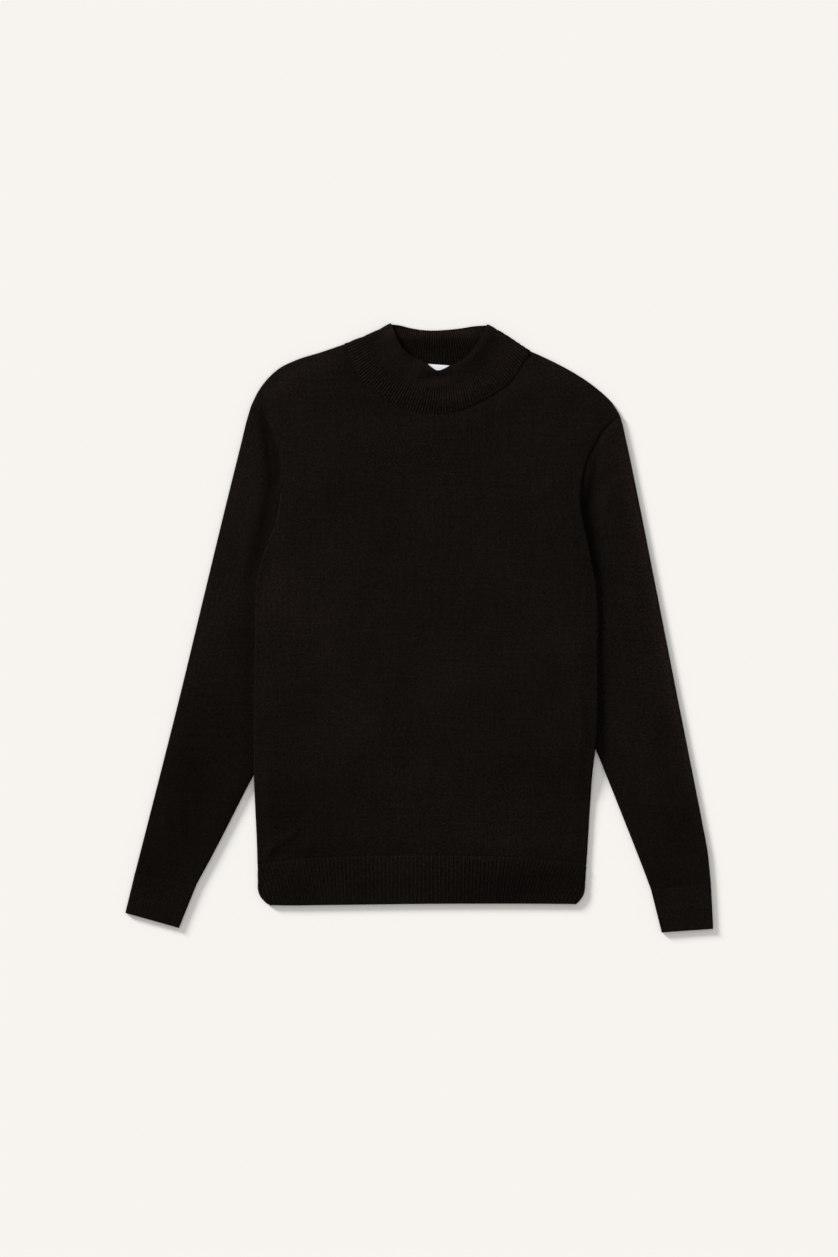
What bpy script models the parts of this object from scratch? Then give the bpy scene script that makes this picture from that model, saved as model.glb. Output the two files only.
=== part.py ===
"""Mock neck sweater of fine dark knit, laid flat on its back.

Metres, +Z up. +X is the viewer's right, +Y runs from the hem to the neck, and the garment rests on z = 0
with the middle of its outline at the origin. Each cloth piece is a sheet lofted through the middle of its
cloth and made solid by Solidify. The front lies on the back, sleeves, cuffs and collar are flattened tubes
with rolled folds, pieces lie a seam gap apart, and the body's sides lie over the sleeves, which are tucked
a little behind them.
"""

import bpy
import bmesh
import numpy as np
from mathutils import Matrix

# Cloth
JERSEY = 0.0015  # wall of the plain knit
RIB = 0.0018  # wall of the hem and cuff rib
BAND = 0.0022  # wall of the collar's doubled rib
SEAM_GAP = 0.0003
LAYER_RISE = JERSEY + SEAM_GAP  # from the middle of the back's cloth to the middle of the front's
SLEEVE_RISE = 0.0023  # the same in a sleeve, which is puffed out a little
RIB_RISE = RIB + SEAM_GAP
COLLAR_RISE = BAND + SEAM_GAP
COLLAR_SWELL = 0.0018  # how far the middle of the front collar stands up
COLLAR_STAND = 2.3  # radians of a sine from the collar's seam to its open edge, whose front stands open
PANEL_REACH = 0.00075  # a flat panel's edge lies this far outside the middle of a rolled fold

# How the body's sides lie over the sleeves
SLEEVE_MARGIN = 0.012  # from a tucked sleeve's edge to where the body starts to sink
SINK = 0.026  # width over which the body sinks from the sleeve to the floor
SLEEVE_SETTLE = 0.068  # share of a sleeve's inner edge over which it sinks from the armhole to the floor
SLEEVE_BOW = 0.2  # share of a sleeve over which the armhole's curve dies away at its outer edge
BOW_SLANT = 0.88  # how much sooner it dies away at the inner edge
LIFT = (  # height of the body's edge over its resting height
    # y, left, right
    (-0.2400, 0.0000, 0.0000),
    (-0.2100, 0.0020, 0.0004),
    (-0.1900, 0.0044, 0.0020),
    (-0.1560, 0.0046, 0.0046),
    (0.1250, 0.0049, 0.0049),
    (0.1750, 0.0054, 0.0054),
    (0.2250, 0.0032, 0.0034),
    (0.2500, 0.0013, 0.0011),
    (0.2620, 0.0005, 0.0000),
    (0.2710, 0.0000, 0.0000),
)

# Body outline, along the middle of the folded cloth
BODY_SIDES = (
    # y, left x, right x
    (-0.2915, -0.1978, 0.2040),
    (-0.2680, -0.1985, 0.2055),
    (-0.2140, -0.2009, 0.2088),
    (-0.1810, -0.2020, 0.2111),
    (-0.1450, -0.2018, 0.2152),
    (-0.0330, -0.2008, 0.2180),
    (0.0200, -0.2001, 0.2180),
    (0.0500, -0.1990, 0.2158),
    (0.0780, -0.1930, 0.2107),
    (0.1000, -0.1860, 0.2060),
    (0.1200, -0.1778, 0.2014),
    (0.1420, -0.1720, 0.1971),
    (0.1650, -0.1694, 0.1959),
    (0.1745, -0.1685, 0.1965),
)
ARMHOLES = {  # from the underarm up to the shoulder's tip: x, y
    "left": (
        (-0.1694, 0.1745),
        (-0.1692, 0.1874),
        (-0.1697, 0.2034),
        (-0.1753, 0.2308),
        (-0.1840, 0.2466),
        (-0.1966, 0.2609),
        (-0.2055, 0.2708),
    ),
    "right": (
        (0.1974, 0.1745),
        (0.2013, 0.1935),
        (0.2062, 0.2085),
        (0.2160, 0.2272),
        (0.2223, 0.2389),
        (0.2346, 0.2517),
        (0.2443, 0.2600),
    ),
}
SHOULDERS = {  # from the tip in to the neck: x, y
    "left": (
        (-0.2055, 0.2708),
        (-0.1974, 0.2875),
        (-0.1825, 0.3069),
        (-0.1710, 0.3166),
        (-0.1510, 0.3264),
        (-0.1202, 0.3362),
        (-0.0919, 0.3460),
    ),
    "right": (
        (0.2443, 0.2600),
        (0.2363, 0.2728),
        (0.2161, 0.2923),
        (0.1874, 0.3118),
        (0.1695, 0.3216),
        (0.1492, 0.3314),
        (0.1356, 0.3375),
    ),
}
NECK_SEAMS = {  # where the collar is linked on, between its two folds, from left to right: x, y
    "front": (
        (-0.0834, 0.3280),
        (-0.0718, 0.3035),
        (-0.0508, 0.2851),
        (-0.0247, 0.2711),
        (0.0190, 0.2603),
        (0.0545, 0.2675),
        (0.0741, 0.2764),
        (0.0969, 0.2895),
        (0.1091, 0.2989),
        (0.1268, 0.3246),
    ),
    "back": (
        (-0.0860, 0.3422),
        (-0.0500, 0.3330),
        (0.0000, 0.3232),
        (0.0300, 0.3200),
        (0.0650, 0.3205),
        (0.1000, 0.3262),
        (0.1300, 0.3340),
    ),
}

# Collar
COLLAR_EDGES = {  # the band's open edge between its two folds, from left to right: x, y
    "front": (
        (-0.0312, 0.3614),
        (-0.0209, 0.3413),
        (-0.0099, 0.3322),
        (0.0092, 0.3222),
        (0.0214, 0.3140),
        (0.0391, 0.3206),
        (0.0566, 0.3300),
        (0.0688, 0.3440),
        (0.0777, 0.3586),
    ),
    "back": (
        (-0.0245, 0.3692),
        (-0.0116, 0.3659),
        (0.0061, 0.3631),
        (0.0190, 0.3627),
        (0.0306, 0.3633),
        (0.0505, 0.3654),
        (0.0674, 0.3681),
    ),
}
COLLAR_FOLDS = {  # from the neck seam to the open edge: x, y
    "left": ((-0.0919, 0.3460), (-0.0562, 0.3606), (-0.0350, 0.3714)),
    "right": ((0.1356, 0.3375), (0.1158, 0.3506), (0.1004, 0.3605), (0.0832, 0.3702)),
}

# Sleeves and cuffs
SLEEVES = {  # from the cuff's seam up to the armhole: x, y
    "left": {
        "outer": (
            (-0.3479, -0.3022),
            (-0.3249, -0.2119),
            (-0.2940, -0.0894),
            (-0.2645, 0.0331),
            (-0.2349, 0.1556),
            (-0.2167, 0.2291),
            (-0.2107, 0.2536),
            (-0.2055, 0.2708),
        ),
        "inner": (
            (-0.2742, -0.3163),
            (-0.2559, -0.2827),
            (-0.2056, -0.1847),
            (-0.1505, -0.0800),
            (-0.1360, -0.0100),
            (-0.1400, 0.0350),
            (-0.1525, 0.0720),
            (-0.1690, 0.1070),
            (-0.1748, 0.1250),
            (-0.1745, 0.1400),
            (-0.1725, 0.1550),
            (-0.1704, 0.1745),
        ),
    },
    "right": {
        "outer": (
            (0.3563, -0.3124),
            (0.3521, -0.2732),
            (0.3466, -0.2438),
            (0.3307, -0.1629),
            (0.3161, -0.0894),
            (0.2920, 0.0331),
            (0.2677, 0.1556),
            (0.2524, 0.2291),
            (0.2466, 0.2536),
            (0.2443, 0.2600),
        ),
        "inner": (
            (0.2845, -0.3220),
            (0.2716, -0.2879),
            (0.2522, -0.2386),
            (0.2219, -0.1626),
            (0.1880, -0.0800),
            (0.1645, -0.0100),
            (0.1670, 0.0350),
            (0.1772, 0.0720),
            (0.1925, 0.1070),
            (0.1990, 0.1250),
            (0.2000, 0.1400),
            (0.1992, 0.1550),
            (0.1986, 0.1745),
        ),
    },
}
CUFFS = {  # from the open end up to the sleeve: x, y
    "left": {
        "outer": ((-0.3597, -0.3512), (-0.3479, -0.3022)),
        "inner": ((-0.2956, -0.3692), (-0.2845, -0.3416), (-0.2742, -0.3163)),
    },
    "right": {
        "outer": ((0.3592, -0.3705), (0.3563, -0.3124)),
        "inner": ((0.2978, -0.3750), (0.2882, -0.3369), (0.2845, -0.3220)),
    },
}

# Hem rib
RIB_TOP_MIDDLE = -0.2810  # y of the line where the rib starts, at the middle of the body
HEM_SIDES = {  # round the lower corner and up to the rib's top: x, y
    "left": (
        (-0.1820, -0.3407),
        (-0.1850, -0.3395),
        (-0.1883, -0.3376),
        (-0.1910, -0.3353),
        (-0.1945, -0.3308),
        (-0.1963, -0.3272),
        (-0.1976, -0.3222),
        (-0.1979, -0.3110),
        (-0.1978, -0.2915),
    ),
    "right": (
        (0.1905, -0.3393),
        (0.1945, -0.3370),
        (0.1980, -0.3333),
        (0.1998, -0.3308),
        (0.2015, -0.3278),
        (0.2022, -0.3232),
        (0.2031, -0.3111),
        (0.2040, -0.2915),
    ),
}
HEM_EDGE = (  # from left to right: x, y
    (-0.1820, -0.3407),
    (-0.1580, -0.3410),
    (-0.1210, -0.3406),
    (-0.0480, -0.3397),
    (0.0000, -0.3391),
    (0.0750, -0.3388),
    (0.1600, -0.3390),
    (0.1905, -0.3393),
)

# Label
LABEL_SIZE = (0.036, 0.0115, 0.0006)
LABEL_MIDDLE = (0.0212, 0.3140)
LABEL_TURN = -0.075  # radians about Z: the garment lies a little crooked

# Colours and finish: red, green, blue
DARK_KNIT = (0.0065, 0.0048, 0.0040)
LABEL_WHITE = (0.80, 0.80, 0.83)
KNIT_ROUGHNESS = 0.9

# Mesh: shares of a length at which rows and columns lie
CURVE_POINTS = 160  # on each smooth outline before it is divided
FOLD_TURNS = np.radians((0, 45, 90))  # places round a rolled edge
SIDE_ACROSS = (0, 0.14, 0.30, 0.45, 0.62, 0.80, 1)  # from the body's side to the neck
NECK_POSTS = (0.25, 0.75)  # shares of the body's width under the two sides of the neckline
NECK_ACROSS = {
    "front": (0.09, 0.17, 0.25, 0.34, 0.43, 0.52, 0.61, 0.70, 0.79, 0.86, 0.93),
    "back": (0.07, 0.19, 0.33, 0.5, 0.67, 0.81, 0.93),
}
NECK_ROWS = 4  # of a panel's rows that end at each side of the front's neckline, or pass under it
HEM_ACROSS = (0, 0.035, 0.1125, 0.2, 0.335, 0.44, 0.56, 0.665, 0.8, 0.8875, 0.965, 1)
ARMHOLE_ACROSS = np.array((0.14, 0.32, 0.5, 0.68, 0.86))  # from the shoulder's tip down
SIDE_UP = (0, 0.088, 0.163, 0.218, 0.303, 0.41, 0.54, 0.67, 0.754, 0.84, 0.92, 1)  # rib to underarm
SLEEVE_RINGS = np.array((
    # outer edge, inner edge: shares of each down from the armhole
    (0.002, 0.000),
    (0.050, 0.017),
    (0.100, 0.034),
    (0.152, 0.068),
    (0.200, 0.098),
    (0.255, 0.132),
    (0.310, 0.172),
    (0.365, 0.217),
    (0.430, 0.285),
    (0.505, 0.370),
    (0.590, 0.465),
    (0.675, 0.570),
    (0.760, 0.675),
    (0.845, 0.780),
    (0.925, 0.885),
    (1.000, 1.000),
))
CUFF_UP = (0, 0.5, 1)
HEM_UP = (0, 0.12, 0.26, 0.42, 0.7, 1)
COLLAR_UP = np.array((0, 0.25, 0.5, 0.75, 1))
WELD = 0.000001


def lengths(curve):
    """How far along the curve each of its points lies."""
    return np.concatenate([[0], np.cumsum(np.linalg.norm(np.diff(curve, axis=0), axis=1))])


def smooth(points):
    """A dense, smooth curve through the points."""
    points = np.array(points, dtype=float)
    run = lengths(points)
    slope = np.gradient(points, run, axis=0)
    places = np.linspace(0, run[-1], CURVE_POINTS)
    start = np.clip(np.searchsorted(run, places, side="right") - 1, 0, len(run) - 2)
    step = (run[start + 1] - run[start])[:, None]
    share = (places - run[start])[:, None] / step
    return (
        (1 + 2 * share) * (1 - share) ** 2 * points[start]
        + share * (1 - share) ** 2 * step * slope[start]
        + share**2 * (3 - 2 * share) * points[start + 1]
        + share**2 * (share - 1) * step * slope[start + 1]
    )


def along(curve, shares, aside=0.0):
    """Places at the given shares of the curve's length, moved aside to the left of its direction."""
    run = lengths(curve)
    at = np.asarray(shares, dtype=float) * run[-1]
    moved = beside(curve, aside)
    return np.stack([np.interp(at, run, moved[:, axis]) for axis in range(2)], axis=1)


def beside(curve, distance):
    """The curve moved to the left of its own direction."""
    way = np.gradient(curve, axis=0)
    way /= np.linalg.norm(way, axis=1)[:, None]
    return curve + distance * np.stack([-way[:, 1], way[:, 0]], axis=1)


def share_of(curve):
    """The share of the curve's length at which each of its points lies."""
    return lengths(curve) / lengths(curve)[-1]


def patch(bottom, top, left, right, across, up):
    """Rows of places that fill four border curves (a Coons patch)."""
    u = np.asarray(across)[None, :, None]
    v = np.asarray(up)[:, None, None]
    corners = (
        (1 - u) * (1 - v) * bottom[0] + u * (1 - v) * bottom[-1] + (1 - u) * v * top[0] + u * v * top[-1]
    )
    return (1 - v) * bottom + v * top + (1 - u) * left[:, None] + u * right[:, None] - corners


def ease(share):
    """0 to 1 and level at both ends."""
    share = np.clip(share, 0, 1)
    return share * share * (3 - 2 * share)


def side_line(side):
    column = {"left": 1, "right": 2}[side]
    return smooth([(row[column], row[0]) for row in BODY_SIDES])


def edge_lift(side, y):
    """Height of the body's edge, and of the armhole, over its resting height."""
    column = {"left": 1, "right": 2}[side]
    rows = np.array(LIFT)
    return np.interp(y, rows[:, 0], rows[:, column])


def body_lift(places):
    """Height of the body over its resting height: lifted over the sleeves, sinking inward from them."""
    x, y = places[..., 0], places[..., 1]
    total = np.zeros(x.shape)
    for side, inward in (("left", 1), ("right", -1)):
        tucked = np.concatenate([smooth(SLEEVES[side]["inner"]), smooth(ARMHOLES[side])])
        body_edge = side_line(side)
        sleeve_x = np.interp(y, tucked[:, 1], tucked[:, 0])
        edge_x = np.interp(y, body_edge[:, 1], body_edge[:, 0])
        covered = np.maximum(inward * sleeve_x, inward * edge_x)
        beyond = inward * x - covered - SLEEVE_MARGIN
        total += edge_lift(side, y) * (1 - ease(beyond / SINK))
    return total


def cloth(name, patches, wall, tube=False):
    """A solid sheet through patches of rows of places. A tube's rows close on themselves."""
    shape = bmesh.new()
    for rows in patches:
        verts = [[shape.verts.new(place) for place in row] for row in rows]
        count = len(verts[0])
        for low, high in zip(verts[:-1], verts[1:]):
            for here in range(count if tube else count - 1):
                after = (here + 1) % count
                shape.faces.new((low[here], low[after], high[after], high[here]))
    bmesh.ops.remove_doubles(shape, verts=shape.verts, dist=WELD)
    bmesh.ops.triangulate(shape, faces=shape.faces, quad_method="SHORT_EDGE")
    mesh = bpy.data.meshes.new(name)
    shape.to_mesh(mesh)
    shape.free()
    mesh.shade_smooth()
    piece = bpy.data.objects.new(name, mesh)
    thick = piece.modifiers.new("Cloth", "SOLIDIFY")
    thick.thickness = wall
    thick.offset = 0
    thick.use_quality_normals = True
    return finish(piece, DARK_KNIT)


def finish(piece, colour):
    """Gives the piece its own material and puts it in the garment."""
    material = bpy.data.materials.new(piece.name)
    material.use_nodes = True
    shader = material.node_tree.nodes["Principled BSDF"]
    shader.inputs["Base Color"].default_value = (*colour, 1)
    shader.inputs["Roughness"].default_value = KNIT_ROUGHNESS
    shader.inputs["Metallic"].default_value = 0
    material.diffuse_color = (*colour, 1)
    piece.data.materials.append(material)
    garment.objects.link(piece)
    return piece


def roll(fold, shares, radius, aside):
    """Places round a rolled edge at shares of its fold, from the fold in to where the cloth lies level."""
    reaches = aside * radius * (1 - np.cos(FOLD_TURNS))
    return np.stack([along(fold, shares, reach) for reach in reaches], axis=1)


def flattened(places, rest, radius, lift):
    """A tube's rings: across its upper layer from fold to fold, then back across its lower layer.

    places holds each layer's rows with both rolled edges, which lie as far round as FOLD_TURNS says.
    """
    layers = []
    for layer, rows, stand in zip((1, -1), places, lift):
        turned = np.sin(FOLD_TURNS)
        level = np.ones(rows.shape[1] - 2 * len(turned))
        half = radius * np.concatenate([turned, level, turned[::-1]])
        height = np.broadcast_to(rest + radius + layer * half + stand, rows.shape[:2])
        layers.append(np.dstack([rows, height]))
    upper, lower = layers
    return np.concatenate([upper, lower[:, -2:0:-1]], axis=1)


def neck_seam(half):
    """Places along the front's or the back's neck seam, with the collar's rolled folds at both ends."""
    left, right = (
        roll(smooth(COLLAR_FOLDS[side]), [0], COLLAR_RISE / 2, aside)[0]
        for side, aside in (("left", -1), ("right", 1))
    )
    curve = smooth([left[-1], *NECK_SEAMS[half], right[-1]])
    return np.concatenate([left, along(curve, NECK_ACROSS[half]), right[::-1]])


def rib_line(shares, rise):
    """The gently arched line where the hem rib starts, moved up by rise."""
    left, right = BODY_SIDES[0][1] - PANEL_REACH, BODY_SIDES[0][2] + PANEL_REACH
    knots = np.array(HEM_ACROSS)
    arch = RIB_TOP_MIDDLE - (RIB_TOP_MIDDLE - BODY_SIDES[0][0]) * np.abs(2 * knots - 1) ** 3
    shares = np.asarray(shares)
    return np.stack([left + (right - left) * shares, np.interp(shares, knots, arch) + rise], axis=1)


def panel(name, half, layer):
    """The front or the back: a patch under each shoulder and, between them, one under the neckline."""
    necks = {each: np.delete(beside(neck_seam(each), -SEAM_GAP / 2), [1, -2], axis=0) for each in NECK_SEAMS}
    armhole_up = 1 - ARMHOLE_ACROSS[::-1]
    patches, posts = [], []
    for side, outward, end in (("left", 1, 0), ("right", -1, 1)):
        top = along(smooth(SHOULDERS[side]), SIDE_ACROSS, outward * PANEL_REACH)
        edge = along(side_line(side), SIDE_UP, outward * PANEL_REACH)
        armhole = along(smooth(ARMHOLES[side]), armhole_up, -outward * SEAM_GAP / 2)
        edge = np.concatenate([edge, armhole, top[:1]])
        up = share_of(edge)

        # The post runs from the rib to the side of the front's neckline, and up that to the shoulder.
        neck = (necks["front"][::-1] if end else necks["front"])[: NECK_ROWS + 1].copy()
        neck_end = necks[half][-end] + top[-1] - SHOULDERS[side][-1]
        if half == "back":  # its corner is cut off, clear of the collar's rolled fold
            neck_end = necks[half][-2 if end else 1]
            neck[1] = (neck[2] + neck_end) / 2
        foot = rib_line([NECK_POSTS[end]], SEAM_GAP / 2)[0]
        straight = up[: len(up) - NECK_ROWS] / up[len(up) - NECK_ROWS - 1]
        post = np.concatenate([foot + (neck[-1] - foot) * straight[:, None], neck[-2:0:-1], [neck_end]])
        posts.append(post)
        top[-1] = neck_end

        shares = end + (NECK_POSTS[end] - end) * np.array(SIDE_ACROSS)
        rows = patch(rib_line(shares, SEAM_GAP / 2), top, edge, post, SIDE_ACROSS, up)
        patches.append(rows[:, ::-1] if end else rows)

    top, rise = necks[half][1:-1], up
    if half == "front":
        top, rise = necks[half][NECK_ROWS:-NECK_ROWS], straight
    posts = [post[: len(rise)] for post in posts]
    top = np.concatenate([posts[0][-1:], top[1:-1], posts[1][-1:]])
    across = share_of(top)
    shares = NECK_POSTS[0] + (NECK_POSTS[1] - NECK_POSTS[0]) * across
    patches.append(patch(rib_line(shares, SEAM_GAP / 2), top, *posts, across, rise))

    rest = JERSEY / 2 + (LAYER_RISE if layer > 0 else 0)
    return cloth(name, [np.dstack([rows, rest + body_lift(rows)]) for rows in patches], JERSEY)


def hem(name, layer):
    """Half of the hem rib, under the front or the back."""
    sides = [
        along(smooth(HEM_SIDES[side]), HEM_UP, outward * PANEL_REACH)
        for side, outward in (("left", 1), ("right", -1))
    ]
    top = rib_line(HEM_ACROSS, -SEAM_GAP / 2)
    bottom = along(smooth(HEM_EDGE), HEM_ACROSS, -PANEL_REACH)
    for side, end in zip(sides, (0, -1)):
        side[0], side[-1] = bottom[end], top[end]
    places = patch(bottom, top, *sides, HEM_ACROSS, HEM_UP)
    height = np.full(places.shape[:2], RIB / 2 + (RIB_RISE if layer > 0 else 0))
    return cloth(name, [np.dstack([places, height])], RIB)


def sleeve(side):
    """A sleeve from the armhole down to the cuff's seam, lifted with the armhole at the underarm."""
    outer, inner = (smooth(SLEEVES[side][edge])[::-1] for edge in ("outer", "inner"))
    inward = {"left": 1, "right": -1}[side]
    rings = SLEEVE_RINGS.copy()
    rings[-1] -= SEAM_GAP / 2 / lengths(inner)[-1]
    radius = SLEEVE_RISE / 2
    left = roll(outer, rings[:, 0], radius, inward)
    right = roll(inner, rings[:, 1], radius, -inward)
    start, end = left[:, -1], right[:, -1]
    middle = start[:, None] + (end - start)[:, None] * ARMHOLE_ACROSS[None, :, None]
    seam = along(smooth(ARMHOLES[side])[::-1], ARMHOLE_ACROSS, -inward * SEAM_GAP / 2)
    bow = 1 - ease(rings[:, 1:] / (SLEEVE_BOW * (1 - BOW_SLANT * ARMHOLE_ACROSS)))
    middle += bow[..., None] * (seam - middle[0])
    places = np.concatenate([left, middle, right[:, ::-1]], axis=1)
    lift = edge_lift(side, places[0, :, 1]) * (1 - ease(rings[:, 1:] / SLEEVE_SETTLE))
    rows = flattened((places, places), JERSEY / 2, radius, (lift, lift))
    return cloth(f"sleeve_{side}", [rows], JERSEY, tube=True)


def cuff(side):
    """A cuff from its open end up to the sleeve."""
    outer, inner = (smooth(CUFFS[side][edge]) for edge in ("outer", "inner"))
    inward = {"left": -1, "right": 1}[side]
    up = np.array(CUFF_UP, dtype=float)
    up[-1] -= SEAM_GAP / 2 / lengths(inner)[-1]
    radius = RIB_RISE / 2
    left = roll(outer, up, radius, inward)
    right = roll(inner, up, radius, -inward)
    start, end = left[:, -1], right[:, -1]
    middle = start[:, None] + (end - start)[:, None] * ARMHOLE_ACROSS[None, :, None]
    places = np.concatenate([left, middle, right[:, ::-1]], axis=1)
    return cloth(f"cuff_{side}", [flattened((places, places), RIB / 2, radius, (0, 0))], RIB, tube=True)


def collar():
    """The mock neck: a ring of doubled rib that leans open, its front edge well below its back edge."""
    radius = COLLAR_RISE / 2
    rolls = [
        roll(smooth(COLLAR_FOLDS[side]), COLLAR_UP, radius, aside)
        for side, aside in (("left", -1), ("right", 1))
    ]
    turns = len(FOLD_TURNS)
    layers, stands = [], []
    for half, swell in (("front", COLLAR_SWELL), ("back", 0)):
        seam = beside(neck_seam(half), SEAM_GAP / 2)
        left, right = (places.copy() for places in rolls)
        left[0], right[0] = seam[:turns], seam[: -turns - 1 : -1]
        bottom = seam[turns - 1 : 1 - turns]
        across = share_of(bottom)
        edge = smooth([left[-1, -1], *COLLAR_EDGES[half], right[-1, -1]])
        middle = patch(bottom, along(edge, across), left[:, -1], right[:, -1], across, COLLAR_UP)
        rows = np.concatenate([left[:, :-1], middle, right[:, -2::-1]], axis=1)
        layers.append(rows)
        span = np.linspace(0, 1, rows.shape[1])
        stands.append(swell * np.sin(COLLAR_STAND * COLLAR_UP)[:, None] * np.sin(np.pi * span))
    return cloth("collar", [flattened(layers, BAND / 2, radius, stands)], BAND, tube=True)


def label():
    """A small plain tab, sewn into the back neck seam and lying on the inside of the back."""
    height = JERSEY + SEAM_GAP + LABEL_SIZE[2] / 2
    shape = bmesh.new()
    bmesh.ops.create_cube(shape, size=1, matrix=Matrix.Diagonal((*LABEL_SIZE, 1)))
    mesh = bpy.data.meshes.new("label")
    shape.to_mesh(mesh)
    shape.free()
    piece = bpy.data.objects.new("label", mesh)
    piece.location = (*LABEL_MIDDLE, height)
    piece.rotation_euler.z = LABEL_TURN
    return finish(piece, LABEL_WHITE)


def outline_box(pieces):
    """The lowest and highest corner of all the solid pieces together."""
    bpy.context.view_layer.update()
    depsgraph = bpy.context.evaluated_depsgraph_get()
    corners = [
        piece.matrix_world @ vertex.co
        for piece in pieces
        for vertex in piece.evaluated_get(depsgraph).data.vertices
    ]
    corners = np.array(corners)
    return corners.min(axis=0), corners.max(axis=0)


for old in list(bpy.data.objects):
    bpy.data.objects.remove(old, do_unlink=True)
garment = bpy.data.collections.new("mock_neck_sweater")
bpy.context.scene.collection.children.link(garment)

pieces = [panel("front", "front", 1), panel("back", "back", -1)]
pieces += [sleeve(side) for side in SLEEVES]
pieces += [cuff(side) for side in CUFFS]
pieces += [collar(), hem("hem_front", 1), hem("hem_back", -1), label()]

# One empty carries the pieces and puts the middle of their outline at the origin.
lowest, highest = outline_box(pieces)
middle = (lowest + highest) / 2
carrier = bpy.data.objects.new("mock_neck_sweater", None)
garment.objects.link(carrier)
for piece in pieces:
    piece.parent = carrier
carrier.location = (-middle[0], -middle[1], -lowest[2])
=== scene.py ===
import bmesh
import bpy
import numpy as np
from mathutils import Matrix, Vector


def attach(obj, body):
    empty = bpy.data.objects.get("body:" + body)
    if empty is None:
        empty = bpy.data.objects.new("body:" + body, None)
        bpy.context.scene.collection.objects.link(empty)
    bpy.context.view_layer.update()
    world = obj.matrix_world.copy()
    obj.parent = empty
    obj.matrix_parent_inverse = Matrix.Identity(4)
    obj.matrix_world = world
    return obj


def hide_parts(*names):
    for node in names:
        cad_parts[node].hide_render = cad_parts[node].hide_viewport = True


# The looks of a mock neck sweater of fine dark knit, laid flat on its back. Metres, +Z up, hem to neck along
# +Y, +X to the viewer's right. A table follows the middle of its piece's cloth, and GARMENT_PLACE moves it.
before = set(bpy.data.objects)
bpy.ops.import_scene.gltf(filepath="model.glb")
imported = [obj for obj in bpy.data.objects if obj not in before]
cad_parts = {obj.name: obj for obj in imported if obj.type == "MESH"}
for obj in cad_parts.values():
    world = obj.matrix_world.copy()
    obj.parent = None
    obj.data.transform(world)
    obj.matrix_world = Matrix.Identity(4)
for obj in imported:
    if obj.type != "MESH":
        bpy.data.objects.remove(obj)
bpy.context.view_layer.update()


# Front
# One panel of fine plain knit in a near-black brown yarn, shaped at the armholes and scooped for the collar.
# Pressed flat, it lies on the back, turns over into it at the sides and shoulders, and dips into its seams.
GARMENT_PLACE = Vector((0.000238, 0.001422, 0.0))
JERSEY = 0.0015
LAYER_RISE = 0.0018  # from the middle of the back's cloth to the middle of the front's
BODY_SIDES = (
    # y, left x, right x
    (-0.2915, -0.1978, 0.2040), (-0.2680, -0.1985, 0.2055), (-0.2140, -0.2009, 0.2088),
    (-0.1810, -0.2020, 0.2111), (-0.1450, -0.2018, 0.2152), (-0.0330, -0.2008, 0.2180),
    (0.0200, -0.2001, 0.2180), (0.0500, -0.1990, 0.2158), (0.0780, -0.1930, 0.2107),
    (0.1000, -0.1860, 0.2060), (0.1200, -0.1778, 0.2014), (0.1420, -0.1720, 0.1971),
    (0.1650, -0.1694, 0.1959), (0.1745, -0.1685, 0.1965),
)
ARMHOLES = {  # from the underarm up to the shoulder's tip: x, y
    "left": (
        (-0.1694, 0.1745), (-0.1692, 0.1874), (-0.1697, 0.2034), (-0.1753, 0.2308), (-0.1840, 0.2466),
        (-0.1966, 0.2609), (-0.2055, 0.2708),
    ),
    "right": (
        (0.1974, 0.1745), (0.2013, 0.1935), (0.2062, 0.2085), (0.2160, 0.2272), (0.2223, 0.2389),
        (0.2346, 0.2517), (0.2443, 0.2600),
    ),
}
SHOULDERS = {  # from the tip in to the neck: x, y
    "left": (
        (-0.2055, 0.2708), (-0.1974, 0.2875), (-0.1825, 0.3069), (-0.1710, 0.3166), (-0.1510, 0.3264),
        (-0.1202, 0.3362), (-0.0919, 0.3460),
    ),
    "right": (
        (0.2443, 0.2600), (0.2363, 0.2728), (0.2161, 0.2923), (0.1874, 0.3118), (0.1695, 0.3216),
        (0.1492, 0.3314), (0.1356, 0.3375),
    ),
}
NECK_SEAMS = {  # where the collar is linked on, between its two folds, from left to right: x, y
    "front": (
        (-0.0834, 0.3280), (-0.0718, 0.3035), (-0.0508, 0.2851), (-0.0247, 0.2711), (0.0190, 0.2603),
        (0.0545, 0.2675), (0.0741, 0.2764), (0.0969, 0.2895), (0.1091, 0.2989), (0.1268, 0.3246),
    ),
    "back": (
        (-0.0860, 0.3422), (-0.0500, 0.3330), (0.0000, 0.3232), (0.0300, 0.3200), (0.0650, 0.3205),
        (0.1000, 0.3262), (0.1300, 0.3340),
    ),
}
RIB_TOP_MIDDLE = -0.2810  # y of the line where the hem rib starts, at the middle of the body
LIFT = (  # height of the body's edge over its resting height, where it lies over the sleeves
    # y, left, right
    (-0.2400, 0.0000, 0.0000), (-0.2100, 0.0020, 0.0004), (-0.1900, 0.0044, 0.0022),
    (-0.1560, 0.0046, 0.0054), (0.0600, 0.0049, 0.0068), (0.1250, 0.0049, 0.0072),
    (0.1750, 0.0054, 0.0054), (0.2250, 0.0032, 0.0034), (0.2500, 0.0013, 0.0011),
    (0.2620, 0.0005, 0.0000), (0.2710, 0.0000, 0.0000),
)
FRONT_SAG = 1.6  # how readily the front sags between the two sleeves: 1 holds it level
SIDE_LENGTH, ARMHOLE_LENGTH, SHOULDER_LENGTH = 0.467, 0.105, 0.140
POSTS = (0.25, 0.75)  # shares of the body's width under the two sides of the neckline
NECK_DOWN = (0.25, 0.75)  # shares of the neckline's length where those sides end
BODY_WIDTH = 0.404
BODY_LEVEL = 0.02  # from a fold or seam to where the panels' waves reach their full height
UNDER_WAVES = 0.35  # share of the unevenness that the back has, and the front takes from it
FRONT_STEP = 0.004
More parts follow.
